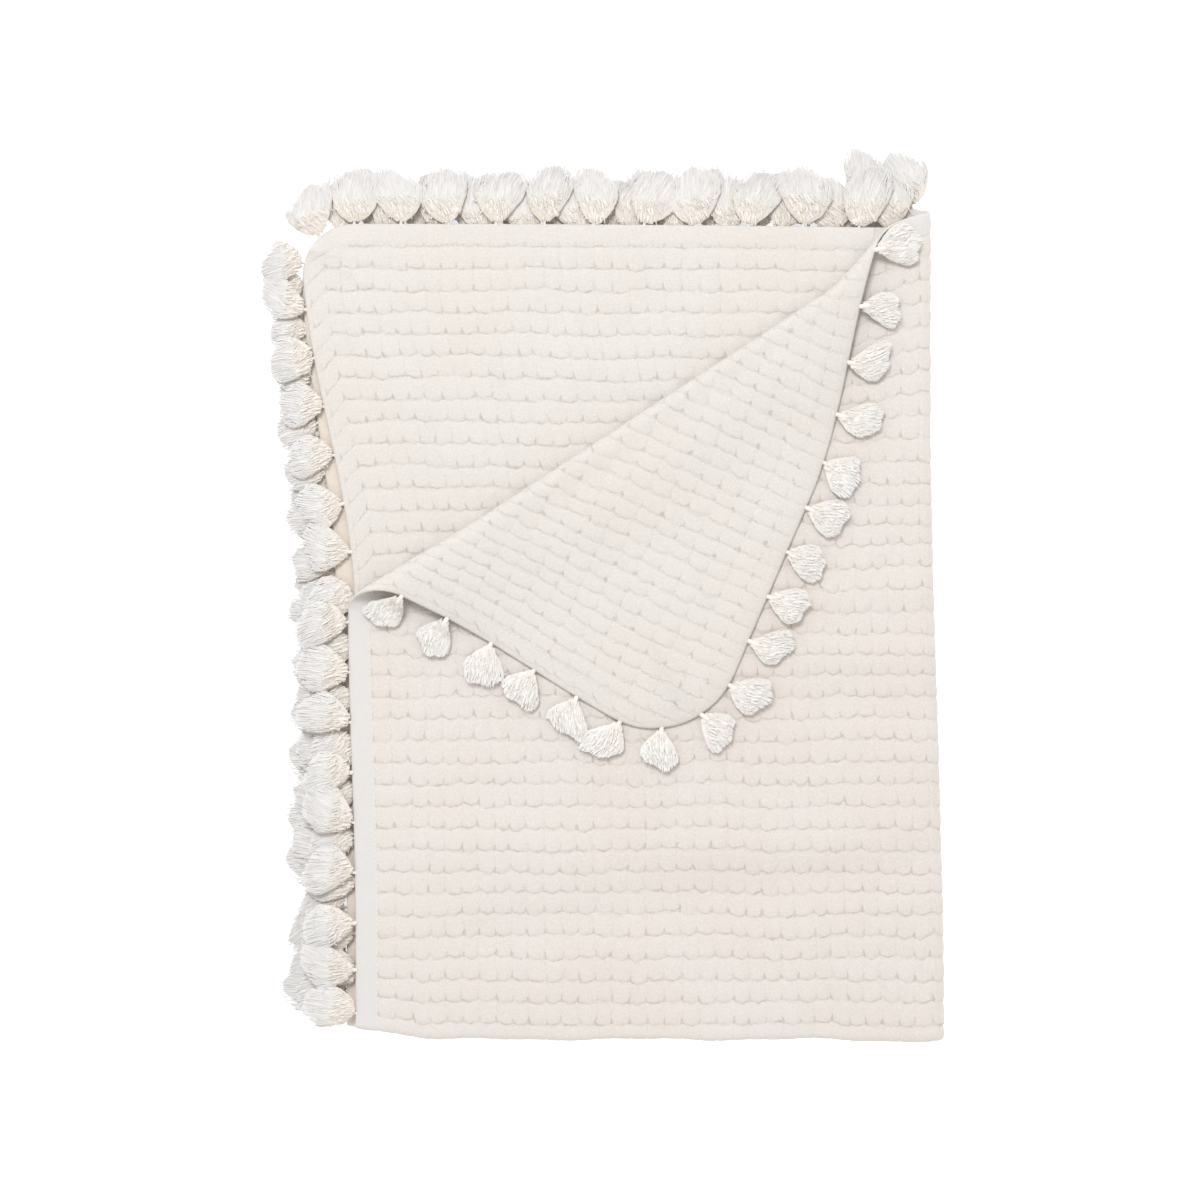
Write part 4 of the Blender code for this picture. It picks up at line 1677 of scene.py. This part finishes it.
    def laid(self, g: NodeGraph, geometry: Any, out: Term, beside: Term, up: Term) -> NodeSocket:
        """Moves points to their places in a tassel.

        Args:
            g: the tree.
            geometry: the points.
            out: how far out from the tassel's root each goes.
            beside: how far beside its middle line.
            up: its height above the floor.

        Returns:
            The moved points.
        """
        root, ahead, side = (
            g.parts(g.named(name, "FLOAT_VECTOR")) for name in ("root", "out", "side")
        )
        drift = beside + g.named("bend") * out * out / g.named("long")
        x, y = (root[k] + ahead[k] * out + side[k] * drift for k in (0, 1))
        moved = g.put(
            "GeometryNodeSetPosition", {"Geometry": geometry, "Position": g.vector(x, y, up)}
        )
        return moved.outputs[0]

    def bed_height(self, g: NodeGraph, out: Term) -> Term:
        """The height of a tassel's underside, falling from its string to what it lies on."""
        tied, bed = g.parts(g.named("root", "FLOAT_VECTOR"))[2], g.named("bed")
        return bed + (tied - self.sink - bed).at_least(0.0) * (1.0 - out.step(*self.fall))

    def half_width(self, g: NodeGraph, reach: Term) -> Term:
        """Half the width of a tassel's skirt.

        Args:
            g: the tree.
            reach: how far out, beside the tassel's length.

        Returns:
            That width.
        """
        opened = ((reach - g.named("neck")) / self.opening).at_least(0.0).at_most(1.0)
        at_neck, gain = self.flare
        spread = (g.named("wide") * 0.5 - self.head_radius) * (at_neck + gain * reach)
        return self.head_radius + spread * opened ** g.named("bloom")

    def half_height(self, g: NodeGraph, reach: Term) -> Term:
        """Half the height of a tassel's skirt, so far out beside its length."""
        swell = 0.55 + 0.45 * reach.step(g.named("neck"), 0.50)
        return g.named("tall") * 0.5 * swell * (1.0 - 0.20 * reach.step(0.65, 1.0))

    def swayed(self, g: NodeGraph, across: Term) -> Term:
        """A place across a skirt, from -1 to 1, drawn to the fuller of its two sides."""
        return across * (1.0 + g.named("skew") * across)

    def tip(self, g: NodeGraph, across: Term) -> Term:
        """How far out a skirt ends, at places across it.

        Args:
            g: the tree.
            across: the places, from -1 to 1.

        Returns:
            How far out, beside the tassel's length.
        """
        rounding = (1.0 - self.squareness * across * across) ** 0.5
        rag = g.named("rag")
        (slow, more), (quick, less) = self.rag_waves
        waves = (across * slow + rag).sine() * more + (across * quick + rag * 2.0).sine() * less
        ragged = 1.0 + waves * g.given("Raggedness")
        return (1.0 - g.given("Tip Rounding") * (1.0 - rounding)) * ragged

    def marked(self, g: NodeGraph, geometry: Any, core: Any, reach: Term) -> NodeSocket:
        """Marks how much painted shade a part of a tassel takes and how near its tip it lies, for
        the yarn's painted light.
        """
        return g.stored(geometry, {"core": core, "tip": reach.step(*self.tip_span)})

    def copied(self, g: NodeGraph, count: Term) -> tuple[NodeSocket, Term]:
        """Puts points at each tassel's root.

        Args:
            g: the tree.
            count: how many at each.

        Returns:
            The points, and the number of each.
        """
        copies = g.put(
            "GeometryNodeDuplicateElements",
            {"Geometry": g.given("Geometry"), "Amount": count},
            domain="POINT",
        )
        return copies.outputs["Geometry"], Term(g, copies.outputs["Duplicate Index"])

    def chances(self, g: NodeGraph, table: Chances) -> dict[str, Term]:
        """The random numbers of a table, by name."""
        seed = g.given("Seed")
        return {name: g.luck(low, high, seed + more) for name, low, high, more in table}

    def one_at_each(self, g: NodeGraph, points: Any, shape: Any) -> NodeSocket:
        """A real copy of a shape at each point."""
        spread = g.put("GeometryNodeInstanceOnPoints", {"Points": points, "Instance": shape})
        return g.put("GeometryNodeRealizeInstances", {"Geometry": spread.outputs[0]}).outputs[0]

    def lines(self, g: NodeGraph, points: Any, count: Any) -> tuple[NodeSocket, Term]:
        """Starts a line at each point.

        Args:
            g: the tree.
            points: the points.
            count: how many points each line has.

        Returns:
            The lines, and how far along its line each place is.
        """
        line = g.put("GeometryNodeCurvePrimitiveLine", {"End": (1.0, 0.0, 0.0)})
        cut = g.put("GeometryNodeResampleCurve", {"Curve": line.outputs[0], "Count": count})
        along = Term(g, g.put("GeometryNodeSplineParameter").outputs["Factor"])
        return self.one_at_each(g, points, cut.outputs[0]), along

    def tube(self, g: NodeGraph, line: Any, radius: Term, sides: int) -> NodeSocket:
        """A closed tube along a line.

        Args:
            g: the tree.
            line: the line.
            radius: the tube's radius along it.
            sides: how many sides it has.

        Returns:
            The tube.
        """
        ring = g.put("GeometryNodeCurvePrimitiveCircle", {"Resolution": sides, "Radius": 1.0})
        values = {"Curve": line, "Profile Curve": ring.outputs[0], "Scale": radius}
        return g.put("GeometryNodeCurveToMesh", {**values, "Fill Caps": True}).outputs[0]

    def strand_lines(self, g: NodeGraph) -> NodeSocket:
        """The loose yarns that wrap each skirt, as thin tubes.

        Args:
            g: the tree.

        Returns:
            The yarns.
        """
        count = g.given("Strands")
        copies, index = self.copied(g, count)
        turn = ((index + g.luck(0.0, 1.0, g.given("Seed"))) / count * 2.0 - 1.0) * self.wrap
        points = g.stored(copies, {"fan": turn, **self.chances(g, STRAND_CHANCES)})
        lines, along = self.lines(g, points, g.given("Segments") + 1.0)
        fan, phase, turns = g.named("fan"), g.named("phase"), g.named("turns")
        across = fan.sine()
        start = g.named("neck") * 0.45 - 0.01 + g.named("begin")
        reach = start + (g.named("reach") * self.tip(g, across) - start) * along
        free = along.step(0.02, 0.25) * (1.0 - 0.7 * along)
        wave = (along * turns + phase).sine() * g.given("Waviness") * free
        beside = self.swayed(g, across) * self.half_width(g, reach) + wave
        beside = beside + g.named("stray") * along * g.given("Stray")
        flutter = (along * turns * 0.8 + phase * 2.0).sine() * g.given("Waviness") * free * 0.6
        top = g.math("COSINE", fan) * g.named("lift")
        out = g.named("long") * reach
        up = self.bed_height(g, out) + self.half_height(g, reach) * (1.0 + top) + flutter
        up = up.at_least(g.named("bed") + g.given("Strand Radius"))
        # painted shade: the yarns on the skirt's sides and underside, and near its neck, take the
        # core shade colour
        deep = (fan.size().step(1.15, 1.65) * 0.6).at_least(0.45 * (1.0 - along.step(0.0, 0.22)))
        marked = self.marked(g, lines, deep * g.given("Depth"), reach)
        laid = self.laid(g, marked, out, beside, up)
        radius = g.given("Strand Radius") * (1.1 - 0.25 * along)
        return shaded(g, self.tube(g, laid, radius, 3), smooth=False)

    def body(self, g: NodeGraph) -> NodeSocket:
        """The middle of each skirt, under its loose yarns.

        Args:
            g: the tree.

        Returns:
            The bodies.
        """
        drum = g.put(
            "GeometryNodeMeshCylinder",
            {"Vertices": 12, "Side Segments": 9, "Radius": 1.0, "Depth": 1.0},
            fill_type="NGON",
        )
        drums = self.one_at_each(g, g.given("Geometry"), drum.outputs["Mesh"])
        place = g.parts(g.put("GeometryNodeInputPosition").outputs[0])
        root = g.parts(g.named("root", "FLOAT_VECTOR"))
        side, lift, along = place[0] - root[0], place[1] - root[1], place[2] - root[2] + 0.5
        neck = g.named("neck")
        start = neck - 0.02
        reach = start + (0.96 * self.tip(g, side) - start) * along
        end = (1.0 - ((along - 0.60) / 0.42).at_least(0.0) ** 2.0).at_least(0.04) ** 0.5
        out = g.named("long") * reach
        sunk = 0.82 + 0.16 * reach.step(neck + 0.10, neck + 0.32)
        half = self.half_height(g, reach)
        up = self.bed_height(g, out) + half * (1.0 + lift * sunk * (0.45 + 0.55 * end))
        beside = self.swayed(g, side) * self.half_width(g, reach) * (0.66 + 0.32 * end)
        # painted shade: the body takes the core shade colour most near the neck
        deep = (0.65 - 0.55 * reach.step(neck + 0.10, neck + 0.42)) * g.given("Depth")
        return shaded(g, self.laid(g, self.marked(g, drums, deep, reach), out, beside, up))

    def head(self, g: NodeGraph) -> NodeSocket:
        """The string of each tassel, from inside the hem to its tied head.

        Args:
            g: the tree.

        Returns:
            The strings and heads.
        """
        lines, along = self.lines(g, g.given("Geometry"), 9)
        neck = g.named("neck")
        reach = along * (neck + 0.08) - 0.03
        tied = neck.step(0.10, 0.12)
        thin = g.given("String Radius") * (0.66 + 0.34 * tied)
        thick = g.given("Head Radius") * (0.52 + 0.48 * tied)
        swell = reach.step(neck - 0.07, neck) * (1.0 - 0.30 * reach.step(neck + 0.02, neck + 0.05))
        radius = (thin + (thick - thin) * swell) * (0.80 + 0.20 * reach.step(-0.02, 0.04))
        out = g.named("long") * reach
        up = self.bed_height(g, out) + radius
        # painted shade: a little of the core shade colour on the strings and heads
        marked = self.marked(g, lines, 0.15, reach)
        return shaded(g, self.tube(g, self.laid(g, marked, out, reach * 0.0, up), radius, 8))

    def ruffles(self, g: NodeGraph) -> NodeSocket:
        """The gathered and curled yarns that cross the near part of each tassel.

        Args:
            g: the tree.

        Returns:
            The curled yarns.
        """
        copies, _ = self.copied(g, g.given("Curls"))
        points = g.stored(copies, self.chances(g, CURL_CHANCES))
        lines, share = self.lines(g, points, 13)
        along = share * 2.0 - 1.0
        curl = g.named("curl")
        angle = along * g.given("Curl Turn") + g.named("phase")
        across = g.named("fan") + along * g.given("Curl Width")
        reach = g.named("neck") + 0.02 + g.named("far") * g.given("Curl Span")
        bulge = (1.0 - across * across * 0.85).at_least(0.02) ** 0.5
        out = g.named("long") * reach + curl * angle.sine()
        beside = self.swayed(g, across) * self.half_width(g, reach)
        up = self.bed_height(g, out) + self.half_height(g, reach) * (1.0 + bulge * g.named("lift"))
        up = up + curl * 0.35 * (angle + 1.3).sine()
        # painted shade: the curled yarns darken towards their ends
        marked = self.marked(g, lines, along.size() * 0.35, reach)
        laid = self.laid(g, marked, out, beside, up)
        radius = g.given("Strand Radius") * (2.0 - 0.8 * along * along)
        return shaded(g, self.tube(g, laid, radius, 3), smooth=False)

    def tree(self) -> NodeGraph:
        """The tree that grows every tassel of a run: its string, tied head, body and yarns.

        Returns:
            The tree, with the sizes and the seed as its inputs.
        """
        g = geometry_tree("tassels")
        counts = {
            "Strands": self.strands[0],
            "Curls": self.curls[0],
            "Segments": self.segments,
            "Seed": 1,
        }
        g.sockets("Int", counts)
        sizes = {
            "Strand Radius": self.strand_radius,
            "String Radius": self.string_radius,
            "Head Radius": self.head_radius * self.head_share,
            "Stray": 0.0009,
            "Curl Turn": 6.4,
            **FULL.inputs,
        }
        g.sockets("Float", sizes)
        joined = g.put("GeometryNodeJoinGeometry")
        for part in (self.strand_lines(g), self.ruffles(g), self.body(g), self.head(g)):
            g.tree.links.new(part, joined.inputs[0])
        give_geometry(g, joined.outputs[0])
        return g

    def build(self, material: Material, brightened_flap_material: Material) -> list[tuple[TasselRun, Object]]:
        """Makes every run of tassels.

        Args:
            material: the yarn's finish.
            brightened_flap_material: a lighter copy of it for the turned-back corner, as painted
                light for tassels that lie in more shade.

        Returns:
            Each run with its object.
        """
        luck = random.Random(7)
        graph = self.tree()
        made = []
        for k, run in enumerate(RUNS):
            name = run.name + "_yarn"
            values = {
                # painted light: the turned-back corner's tassels take the lighter copy of the yarn
                "Material": brightened_flap_material if run.on_flap else material,
                "Seed": 10 + 20 * k,
                "Strands": self.strands[run.under],
                "Curls": self.curls[run.under],
                **run.style.inputs,
            }
            mesh = grow(self.roots(run, luck), name, graph, values)
            LOG.info("%s: %d triangles", name, triangles(mesh))
            made.append((run, show(mesh, name)))
        return made


def shader_group(name: str) -> NodeGraph:
    """An empty shader node group."""
    return NodeGraph(bpy.data.node_groups.new(name, "ShaderNodeTree"))


def cotton_tone_group() -> NodeTree:
    """The uneven tone of undyed cotton: slow patches and small specks.

    Returns:
        The group, with a colour as its output.
    """
    g = shader_group("cotton_tone")
    g.socket("Vector", "Vector")
    g.sockets(
        "Color", {"Colour": (0.8, 0.75, 0.7, 1.0), "Second Colour": (0.8, 0.72, 0.62, 1.0)}
    )
    amounts = {
        "Patch Scale": 9.0,
        "Patch Amount": 0.5,
        "Speck Scale": 900.0,
        "Speck Amount": 0.06,
        "Fleck Scale": 1100.0,
        "Fleck Amount": 0.0,
    }
    g.sockets("Float", amounts)
    g.output("Color", "Color")
    patch, speck, fleck = (
        Term(g, g.noise(g.given("Vector"), g.given(name + " Scale"), detail).outputs[0])
        for name, detail in (("Patch", 2.0), ("Speck", 2.0), ("Fleck", 0.0))
    )
    slow = patch.step(0.35, 0.65) * g.given("Patch Amount")
    mixed = g.mixed(slow, g.given("Colour"), g.given("Second Colour"))
    bright = 1.0 + (speck - 0.5) * 2.0 * g.given("Speck Amount")
    bright = bright + fleck.step(0.66, 0.78) * g.given("Fleck Amount")
    tone = g.put("ShaderNodeVectorMath", {0: mixed, "Scale": bright}, operation="SCALE")
    g.put("NodeGroupOutput", {"Color": tone.outputs[0]})
    return g.tree


def thread_weave_group() -> NodeTree:
    """The height of plain woven threads, with the fuzz of brushed cotton.

    Returns:
        The group, with a height as its output.
    """
    g = shader_group("thread_weave")
    g.socket("Vector", "Vector")
    amounts = {
        "Thread Pitch": 0.0009,
        "Thread Height": 0.00010,
        "Fuzz Scale": 1500.0,
        "Fuzz Height": 0.00016,
    }
    g.sockets("Float", amounts)
    g.output("Height", "Float")
    a, b, _ = g.parts(g.given("Vector"))
    turns = g.math("DIVIDE", math.pi, g.given("Thread Pitch"))
    threads = (a * turns).sine().size() * (b * turns).sine().size()
    fuzz = Term(g, g.noise(g.given("Vector"), g.given("Fuzz Scale"), 3.0, 0.6).outputs[0])
    height = threads * g.given("Thread Height") + fuzz * g.given("Fuzz Height")
    g.put("NodeGroupOutput", {"Height": height})
    return g.tree


def waffle_cells_group(cell: CellShape) -> NodeTree:
    """The waffle's cells, with a mask of where shade is painted along them.

    Args:
        cell: the shape of a cell.

    Returns:
        The group. Its outputs are the painted shade mask, along the lobes' lower edges, the notches
        and the furrows, and the height of its lobe.
    """
    g = shader_group("waffle_cells")
    g.sockets("Vector", {"Cell": None, "Place": None})
    amounts = {
        "Side": 1.0,
        "Turned": 0.0,
        "Wander Scale": 210.0,
        "Wander": 0.25,
        "Fray Scale": 1000.0,
        "Fray": 0.105,
        "Fade Scale": 130.0,
        "Line Width": 0.075,
        "Line Least": 0.20,
        "Notch Least": 0.20,
        "Furrow": 0.22,
        "Turned Fade": 0.34,
        "Drop": 0.12,
        "Lobe Height": 0.0015,
    }
    g.sockets("Float", amounts)
    g.output("Groove", "Float")
    g.output("Height", "Float")
    turned = g.given("Turned")
    drifts = []
    for name, detail in (("Wander", 1.0), ("Fray", 2.0)):
        noise = g.noise(g.given("Place"), g.given(name + " Scale"), detail)
        drifts.append([(part - 0.5) * g.given(name) for part in g.parts(noise.outputs["Color"])])
    column, row, _ = g.parts(g.given("Cell"))
    more = 1.0 + 0.5 * turned
    column = column + (drifts[0][0] + drifts[1][0]) * more
    row = row + (drifts[0][1] + drifts[1][1]) * more
    beside, along = cell_axes(column, row, turned)

    def lot(across: Term, up: Term) -> Term:
        """A random number from 0 to 1 for each cell."""
        place = {"Vector": g.vector(across.whole(), up.whole(), turned)}
        return Term(g, g.put("ShaderNodeTexWhiteNoise", place, noise_dimensions="3D").outputs[0])

    drop = (lot(beside, along + 0.5) - 0.5) * (g.given("Drop") * (1.0 + turned))
    across, up = cell_place(beside, along + drop, g.given("Side"), turned)
    # painted shade: a dark line along each lobe's lower edge, on the side away from the light
    line = (1.0 - ((up / g.given("Line Width")) - 0.3).size()).at_least(0.0)
    furrow = across.step(0.90, 1.0) * g.given("Furrow")
    fade = Term(g, g.noise(g.given("Place"), g.given("Fade Scale"), 2.0).outputs[0])
    patchy = fade.step(0.40, 0.64)
    least = g.given("Notch Least")
    notch = cell.notched(across, up) * (least + (1.0 - least) * lot(beside + 0.5, along))
    least = g.given("Line Least")
    # the painted shade is patchy, and fainter on the turned-back corner, where the light falls
    # across its lobes
    line = line * (least + (1.0 - least) * patchy) * (1.0 - g.given("Turned Fade") * turned)
    groove = line.at_least(notch).at_least(furrow * patchy)
    height = cell.height(across, up) * g.given("Lobe Height")
    g.put("NodeGroupOutput", {"Groove": groove, "Height": height})
    return g.tree


@dataclass(frozen=True)
class Groups:
    """The shared effects of the finishes."""

    tone: NodeTree
    weave: NodeTree
    cells: NodeTree


@dataclass(frozen=True)
class WaffleCotton:
    """The blanket's cloth: matt cream waffle cotton with plain woven hems, with shade painted along
    its grooves and warm light painted onto the shaded hems of the lower layers.

    Attributes:
        front: the colour of the front face.
        front_warm: its colour in warmer patches.
        back: the colour of the back face.
        back_warm: its colour in warmer patches.
        groove: the painted shade colour along the grooves, the lobes' lower edges and the notches.
        groove_shade_share: how much of that painted shade the grooves take.
        hem: the colour of the top layer's hem.
        under_hem_painted_light: the colour of the hems below it, warmer and lighter as painted
            bounce light in their shade.
        lobe_share: how much of the cells' height is left to the finish where none is raised.
        roughness: how matt it is.
    """

    front: Triple = (0.725, 0.678, 0.640)
    front_warm: Triple = (0.715, 0.660, 0.612)
    back: Triple = (0.722, 0.685, 0.650)
    back_warm: Triple = (0.714, 0.670, 0.626)
    # painted shade colour, drawn along the grooves where the light from above leaves them in shade
    groove: Triple = (0.42, 0.34, 0.26)
    groove_shade_share: float = 0.54
    hem: Triple = (0.717, 0.687, 0.666)
    # painted light: a warmer, lighter hem colour for the shaded lower layers
    under_hem_painted_light: Triple = (0.800, 0.715, 0.625)
    lobe_share: float = 0.45
    roughness: float = 0.95

    def material(self, groups: Groups, cloth: Cloth) -> Material:
        """Makes the material.

        Args:
            groups: the shared effects.
            cloth: the cloth that it dresses, for the size of its cells.

        Returns:
            The material.
        """
        material, g, shader = cotton("waffle_cotton", self.roughness, 0.25, 0.6)
        flat = g.put("ShaderNodeUVMap", uv_map="flat_cloth").outputs[0]
        side = g.painted("side")
        facing = (side * 0.5 + 0.5).at_least(0.0)
        tone = g.put(
            "ShaderNodeGroup",
            {
                "Vector": g.put("ShaderNodeTexCoord").outputs["Object"],
                "Colour": g.mixed(facing, self.back, self.front),
                "Second Colour": g.mixed(facing, self.back_warm, self.front_warm),
                "Patch Scale": 14.0,
                "Patch Amount": 0.8,
                "Speck Scale": 700.0,
                "Speck Amount": 0.10,
                "Fleck Amount": 0.08,
            },
            node_tree=groups.tone,
        )
        cell = g.put("ShaderNodeAttribute", attribute_name="cell")
        cells = g.put(
            "ShaderNodeGroup",
            {
                "Cell": cell.outputs["Vector"],
                "Side": side,
                "Turned": g.painted("turned"),
                "Place": flat,
                "Lobe Height": self.lobe_share * (cloth.puff_height - cloth.groove_height),
            },
            node_tree=groups.cells,
        )
        weave = g.put("ShaderNodeGroup", {"Vector": flat}, node_tree=groups.weave)
        waffle = g.painted("waffle")
        # painted light: the lower layers' hems take the warmer, lighter colour in place of the
        # bounce light in their shade
        hem = g.mixed(g.painted("under"), self.hem, self.under_hem_painted_light)
        woven = g.mixed((1.0 - waffle) * facing, tone.outputs["Color"], hem)
        # painted shade: the cells' groove mask darkens the cloth towards the groove colour
        deep = Term(g, cells.outputs["Groove"]) * waffle * self.groove_shade_share
        lobes = Term(g, cells.outputs["Height"]) * waffle * g.painted("hidden")
        height = Term(g, weave.outputs["Height"]) + lobes
        finish_surface(g, shader, g.mixed(deep, woven, self.groove), height)
        return material


@dataclass(frozen=True)
class Yarn:
    """Soft matt cotton yarn, for the tassels or for the sewing thread.

    Attributes:
        name: the material's name.
        colour: its colour.
        second: its colour in patches.
        tip: its colour towards a tassel's tip. The blend to it from the root colour is painted
            light: lighter near the shaded root, darker at the tip, where more light falls.
        core: the painted shade colour for the insides, undersides and neck of a tassel.
        twist_height: how high its fine twist stands.
        roughness: how matt it is.
    """

    name: str
    colour: Triple
    second: Triple
    tip: Triple = (0.86, 0.82, 0.77)
    # painted shade colour, used inside and under a tassel
    core: Triple = (0.72, 0.60, 0.47)
    twist_height: float = 0.00004
    roughness: float = 0.95

    def material(self, groups: Groups) -> Material:
        """Makes the material.

        Args:
            groups: the shared effects.

        Returns:
            The material.
        """
        material, g, shader = cotton(self.name, self.roughness, 0.3, 0.5)
        place = g.put("ShaderNodeTexCoord").outputs["Object"]
        tone = g.put(
            "ShaderNodeGroup",
            {
                "Vector": place,
                "Colour": (*self.colour, 1.0),
                "Second Colour": (*self.second, 1.0),
                "Patch Scale": 60.0,
                "Patch Amount": 0.7,
                "Speck Scale": 1400.0,
                "Speck Amount": 0.08,
            },
            node_tree=groups.tone,
        )
        height = Term(g, g.noise(place, 2600.0, 2.0).outputs[0]) * self.twist_height
        # painted light: the colour blends from the lighter root colour to the tip colour
        faded = g.mixed(g.painted("tip"), tone.outputs["Color"], self.tip)
        # painted shade: parts marked with core take the darker, warmer shade colour
        finish_surface(g, shader, g.mixed(g.painted("core"), faded, self.core), height)
        return material


def plain_material(name: str, roughness: float) -> tuple[Material, NodeGraph, Node]:
    """Starts a material.

    Args:
        name: its name.
        roughness: how matt it is.

    Returns:
        The material, its tree and its shader.
    """
    material = bpy.data.materials.new(name)
    material.use_nodes = True
    shader = material.node_tree.nodes["Principled BSDF"]
    shader.inputs["Roughness"].default_value = roughness
    return material, NodeGraph(material.node_tree), shader


def cotton(
    name: str, roughness: float, sheen: float, sheen_roughness: float
) -> tuple[Material, NodeGraph, Node]:
    """Starts a cotton material, with the soft sheen of its fibres.

    Args:
        name: its name.
        roughness: how matt it is.
        sheen: how strong the sheen is.
        sheen_roughness: how wide the sheen is.

    Returns:
        The material, its tree and its shader.
    """
    material, graph, shader = plain_material(name, roughness)
    shader.inputs["Sheen Weight"].default_value = sheen
    shader.inputs["Sheen Roughness"].default_value = sheen_roughness
    shader.inputs["Specular IOR Level"].default_value = 0.2
    return material, graph, shader


def finish_surface(g: NodeGraph, shader: Node, colour: Any, height: Term) -> None:
    """Joins a colour and a height to a shader.

    Args:
        g: the material's tree.
        shader: its shader.
        colour: the colour.
        height: the height of the fine relief, in metres.
    """
    bump = g.put("ShaderNodeBump", {"Strength": 1.0, "Distance": 1.0, "Height": height})
    g.feed(shader.inputs["Base Color"], colour)
    g.feed(shader.inputs["Normal"], bump.outputs[0])


@dataclass(frozen=True)
class Studio:
    """The pale floor, the soft light and the camera straight above.

    Attributes:
        frame_width: how much of the stack's plane the picture shows.
        frame_middle: where the picture's middle lies on it.
        frame_height: the height of that plane.
        lens: the camera's focal length, in millimetres.
        sensor: the width of its sensor, in millimetres.
        floor_size: how wide the floor is.
        floor_colours: the two colours of its faint grain.
        floor_glow: how much it glows.
        glow_colour: the colour of that glow.
        key_power: the power of the key light.
        key_size: how wide it is.
        key_from: where it stands.
        key_colour: its colour.
        sky: the strength of the even light.
        sky_colour: its colour.
    """

    frame_width: float = 0.756
    frame_middle: Pair = (-0.0003, -0.0034)
    frame_height: float = 0.010
    lens: float = 100.0
    sensor: float = 36.0
    floor_size: float = 6.0
    floor_colours: tuple[Triple, Triple] = ((0.97, 0.95, 0.91), (0.98, 0.96, 0.92))
    floor_glow: float = 0.52
    glow_colour: Triple = (0.85, 0.95, 1.08)
    key_power: float = 74.5
    key_size: float = 1.2
    key_from: Triple = (-0.6, 1.75, 3.3)
    key_colour: Triple = (0.965, 1.0, 1.04)
    sky: float = 0.825
    sky_colour: Triple = (0.965, 0.945, 0.922)

    def floor(self) -> None:
        """Lays the pale floor, which glows a little, as a lit table does."""
        half = self.floor_size / 2
        mesh = bpy.data.meshes.new("floor")
        corners = ((-half, -half), (half, -half), (half, half), (-half, half))
        mesh.from_pydata([(x, y, 0.0) for x, y in corners], [], [(0, 1, 2, 3)])
        material, g, shader = plain_material("white_floor", 0.9)
        grain = g.noise(g.put("ShaderNodeTexCoord").outputs["Object"], 3.0, 1.0)
        colour = g.mixed(grain.outputs[0], *self.floor_colours)
        g.feed(shader.inputs["Base Color"], colour)
        shader.inputs["Emission Color"].default_value = (*self.glow_colour, 1.0)
        shader.inputs["Emission Strength"].default_value = self.floor_glow
        mesh.materials.append(material)
        show(mesh, "floor")

    def lights(self) -> None:
        """Sets a wide key light beyond the top and an even pale sky."""
        light = bpy.data.lights.new("key", "AREA")
        light.energy = self.key_power
        light.shape = "DISK"
        light.size = self.key_size
        light.color = self.key_colour
        lamp = bpy.data.objects.new("key", light)
        lamp.location = self.key_from
        aim = Vector((0.0, 0.0, 0.0)) - lamp.location
        lamp.rotation_euler = aim.to_track_quat("-Z", "Y").to_euler()
        bpy.context.scene.collection.objects.link(lamp)
        world = bpy.data.worlds.new("studio")
        world.use_nodes = True
        sky = world.node_tree.nodes["Background"]
        sky.inputs["Color"].default_value = (*self.sky_colour, 1.0)
        sky.inputs["Strength"].default_value = self.sky
        bpy.context.scene.world = world
        bpy.context.scene.view_settings.view_transform = "Standard"

    def camera(self) -> None:
        """Hangs the camera straight above, at the photograph's framing."""
        data = bpy.data.cameras.new("camera")
        data.lens = self.lens
        data.sensor_width = self.sensor
        away = self.frame_width * self.lens / self.sensor
        camera = bpy.data.objects.new("camera", data)
        camera.location = (*self.frame_middle, self.frame_height + away)
        bpy.context.scene.collection.objects.link(camera)
        bpy.context.scene.camera = camera


def main() -> None:
    """Builds the blanket and the studio in order, hides the solids that the cloth and tassels stand
    for, and hangs each piece from the root.
    """
    logging.basicConfig(level=logging.INFO, format="%(name)s %(message)s")
    plan = FoldPlan()
    cloth = Cloth(plan)
    groups = Groups(cotton_tone_group(), thread_weave_group(), waffle_cells_group(cloth.cell))
    piece = cloth.build(WaffleCotton().material(groups, cloth))
    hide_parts("blanket")
    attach(piece, "root")
    thread = Yarn("sewing_thread", (0.86, 0.82, 0.77), (0.84, 0.79, 0.73))
    stitches = Stitching(plan).build(thread.material(groups))
    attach(stitches, "root")
    # painted light: the tassel yarn is lighter at the root and darker at the tip
    yarn = Yarn(
        "tassel_yarn", (0.855, 0.820, 0.780), (0.845, 0.805, 0.755), (0.778, 0.762, 0.748)
    )
    # painted light: a lighter copy of the tassel yarn for the turned-back corner, whose tassels lie
    # in more shade
    brightened_flap_finish = Yarn("flap_yarn", (0.870, 0.842, 0.812), (0.860, 0.828, 0.790), (0.862, 0.842, 0.822))
    for run, tassels in Tassels(plan).build(yarn.material(groups), brightened_flap_finish.material(groups)):
        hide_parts(run.name)
        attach(tassels, "root")
    studio = Studio()
    studio.floor()
    studio.lights()
    studio.camera()


if __name__ == "__main__":
    main()
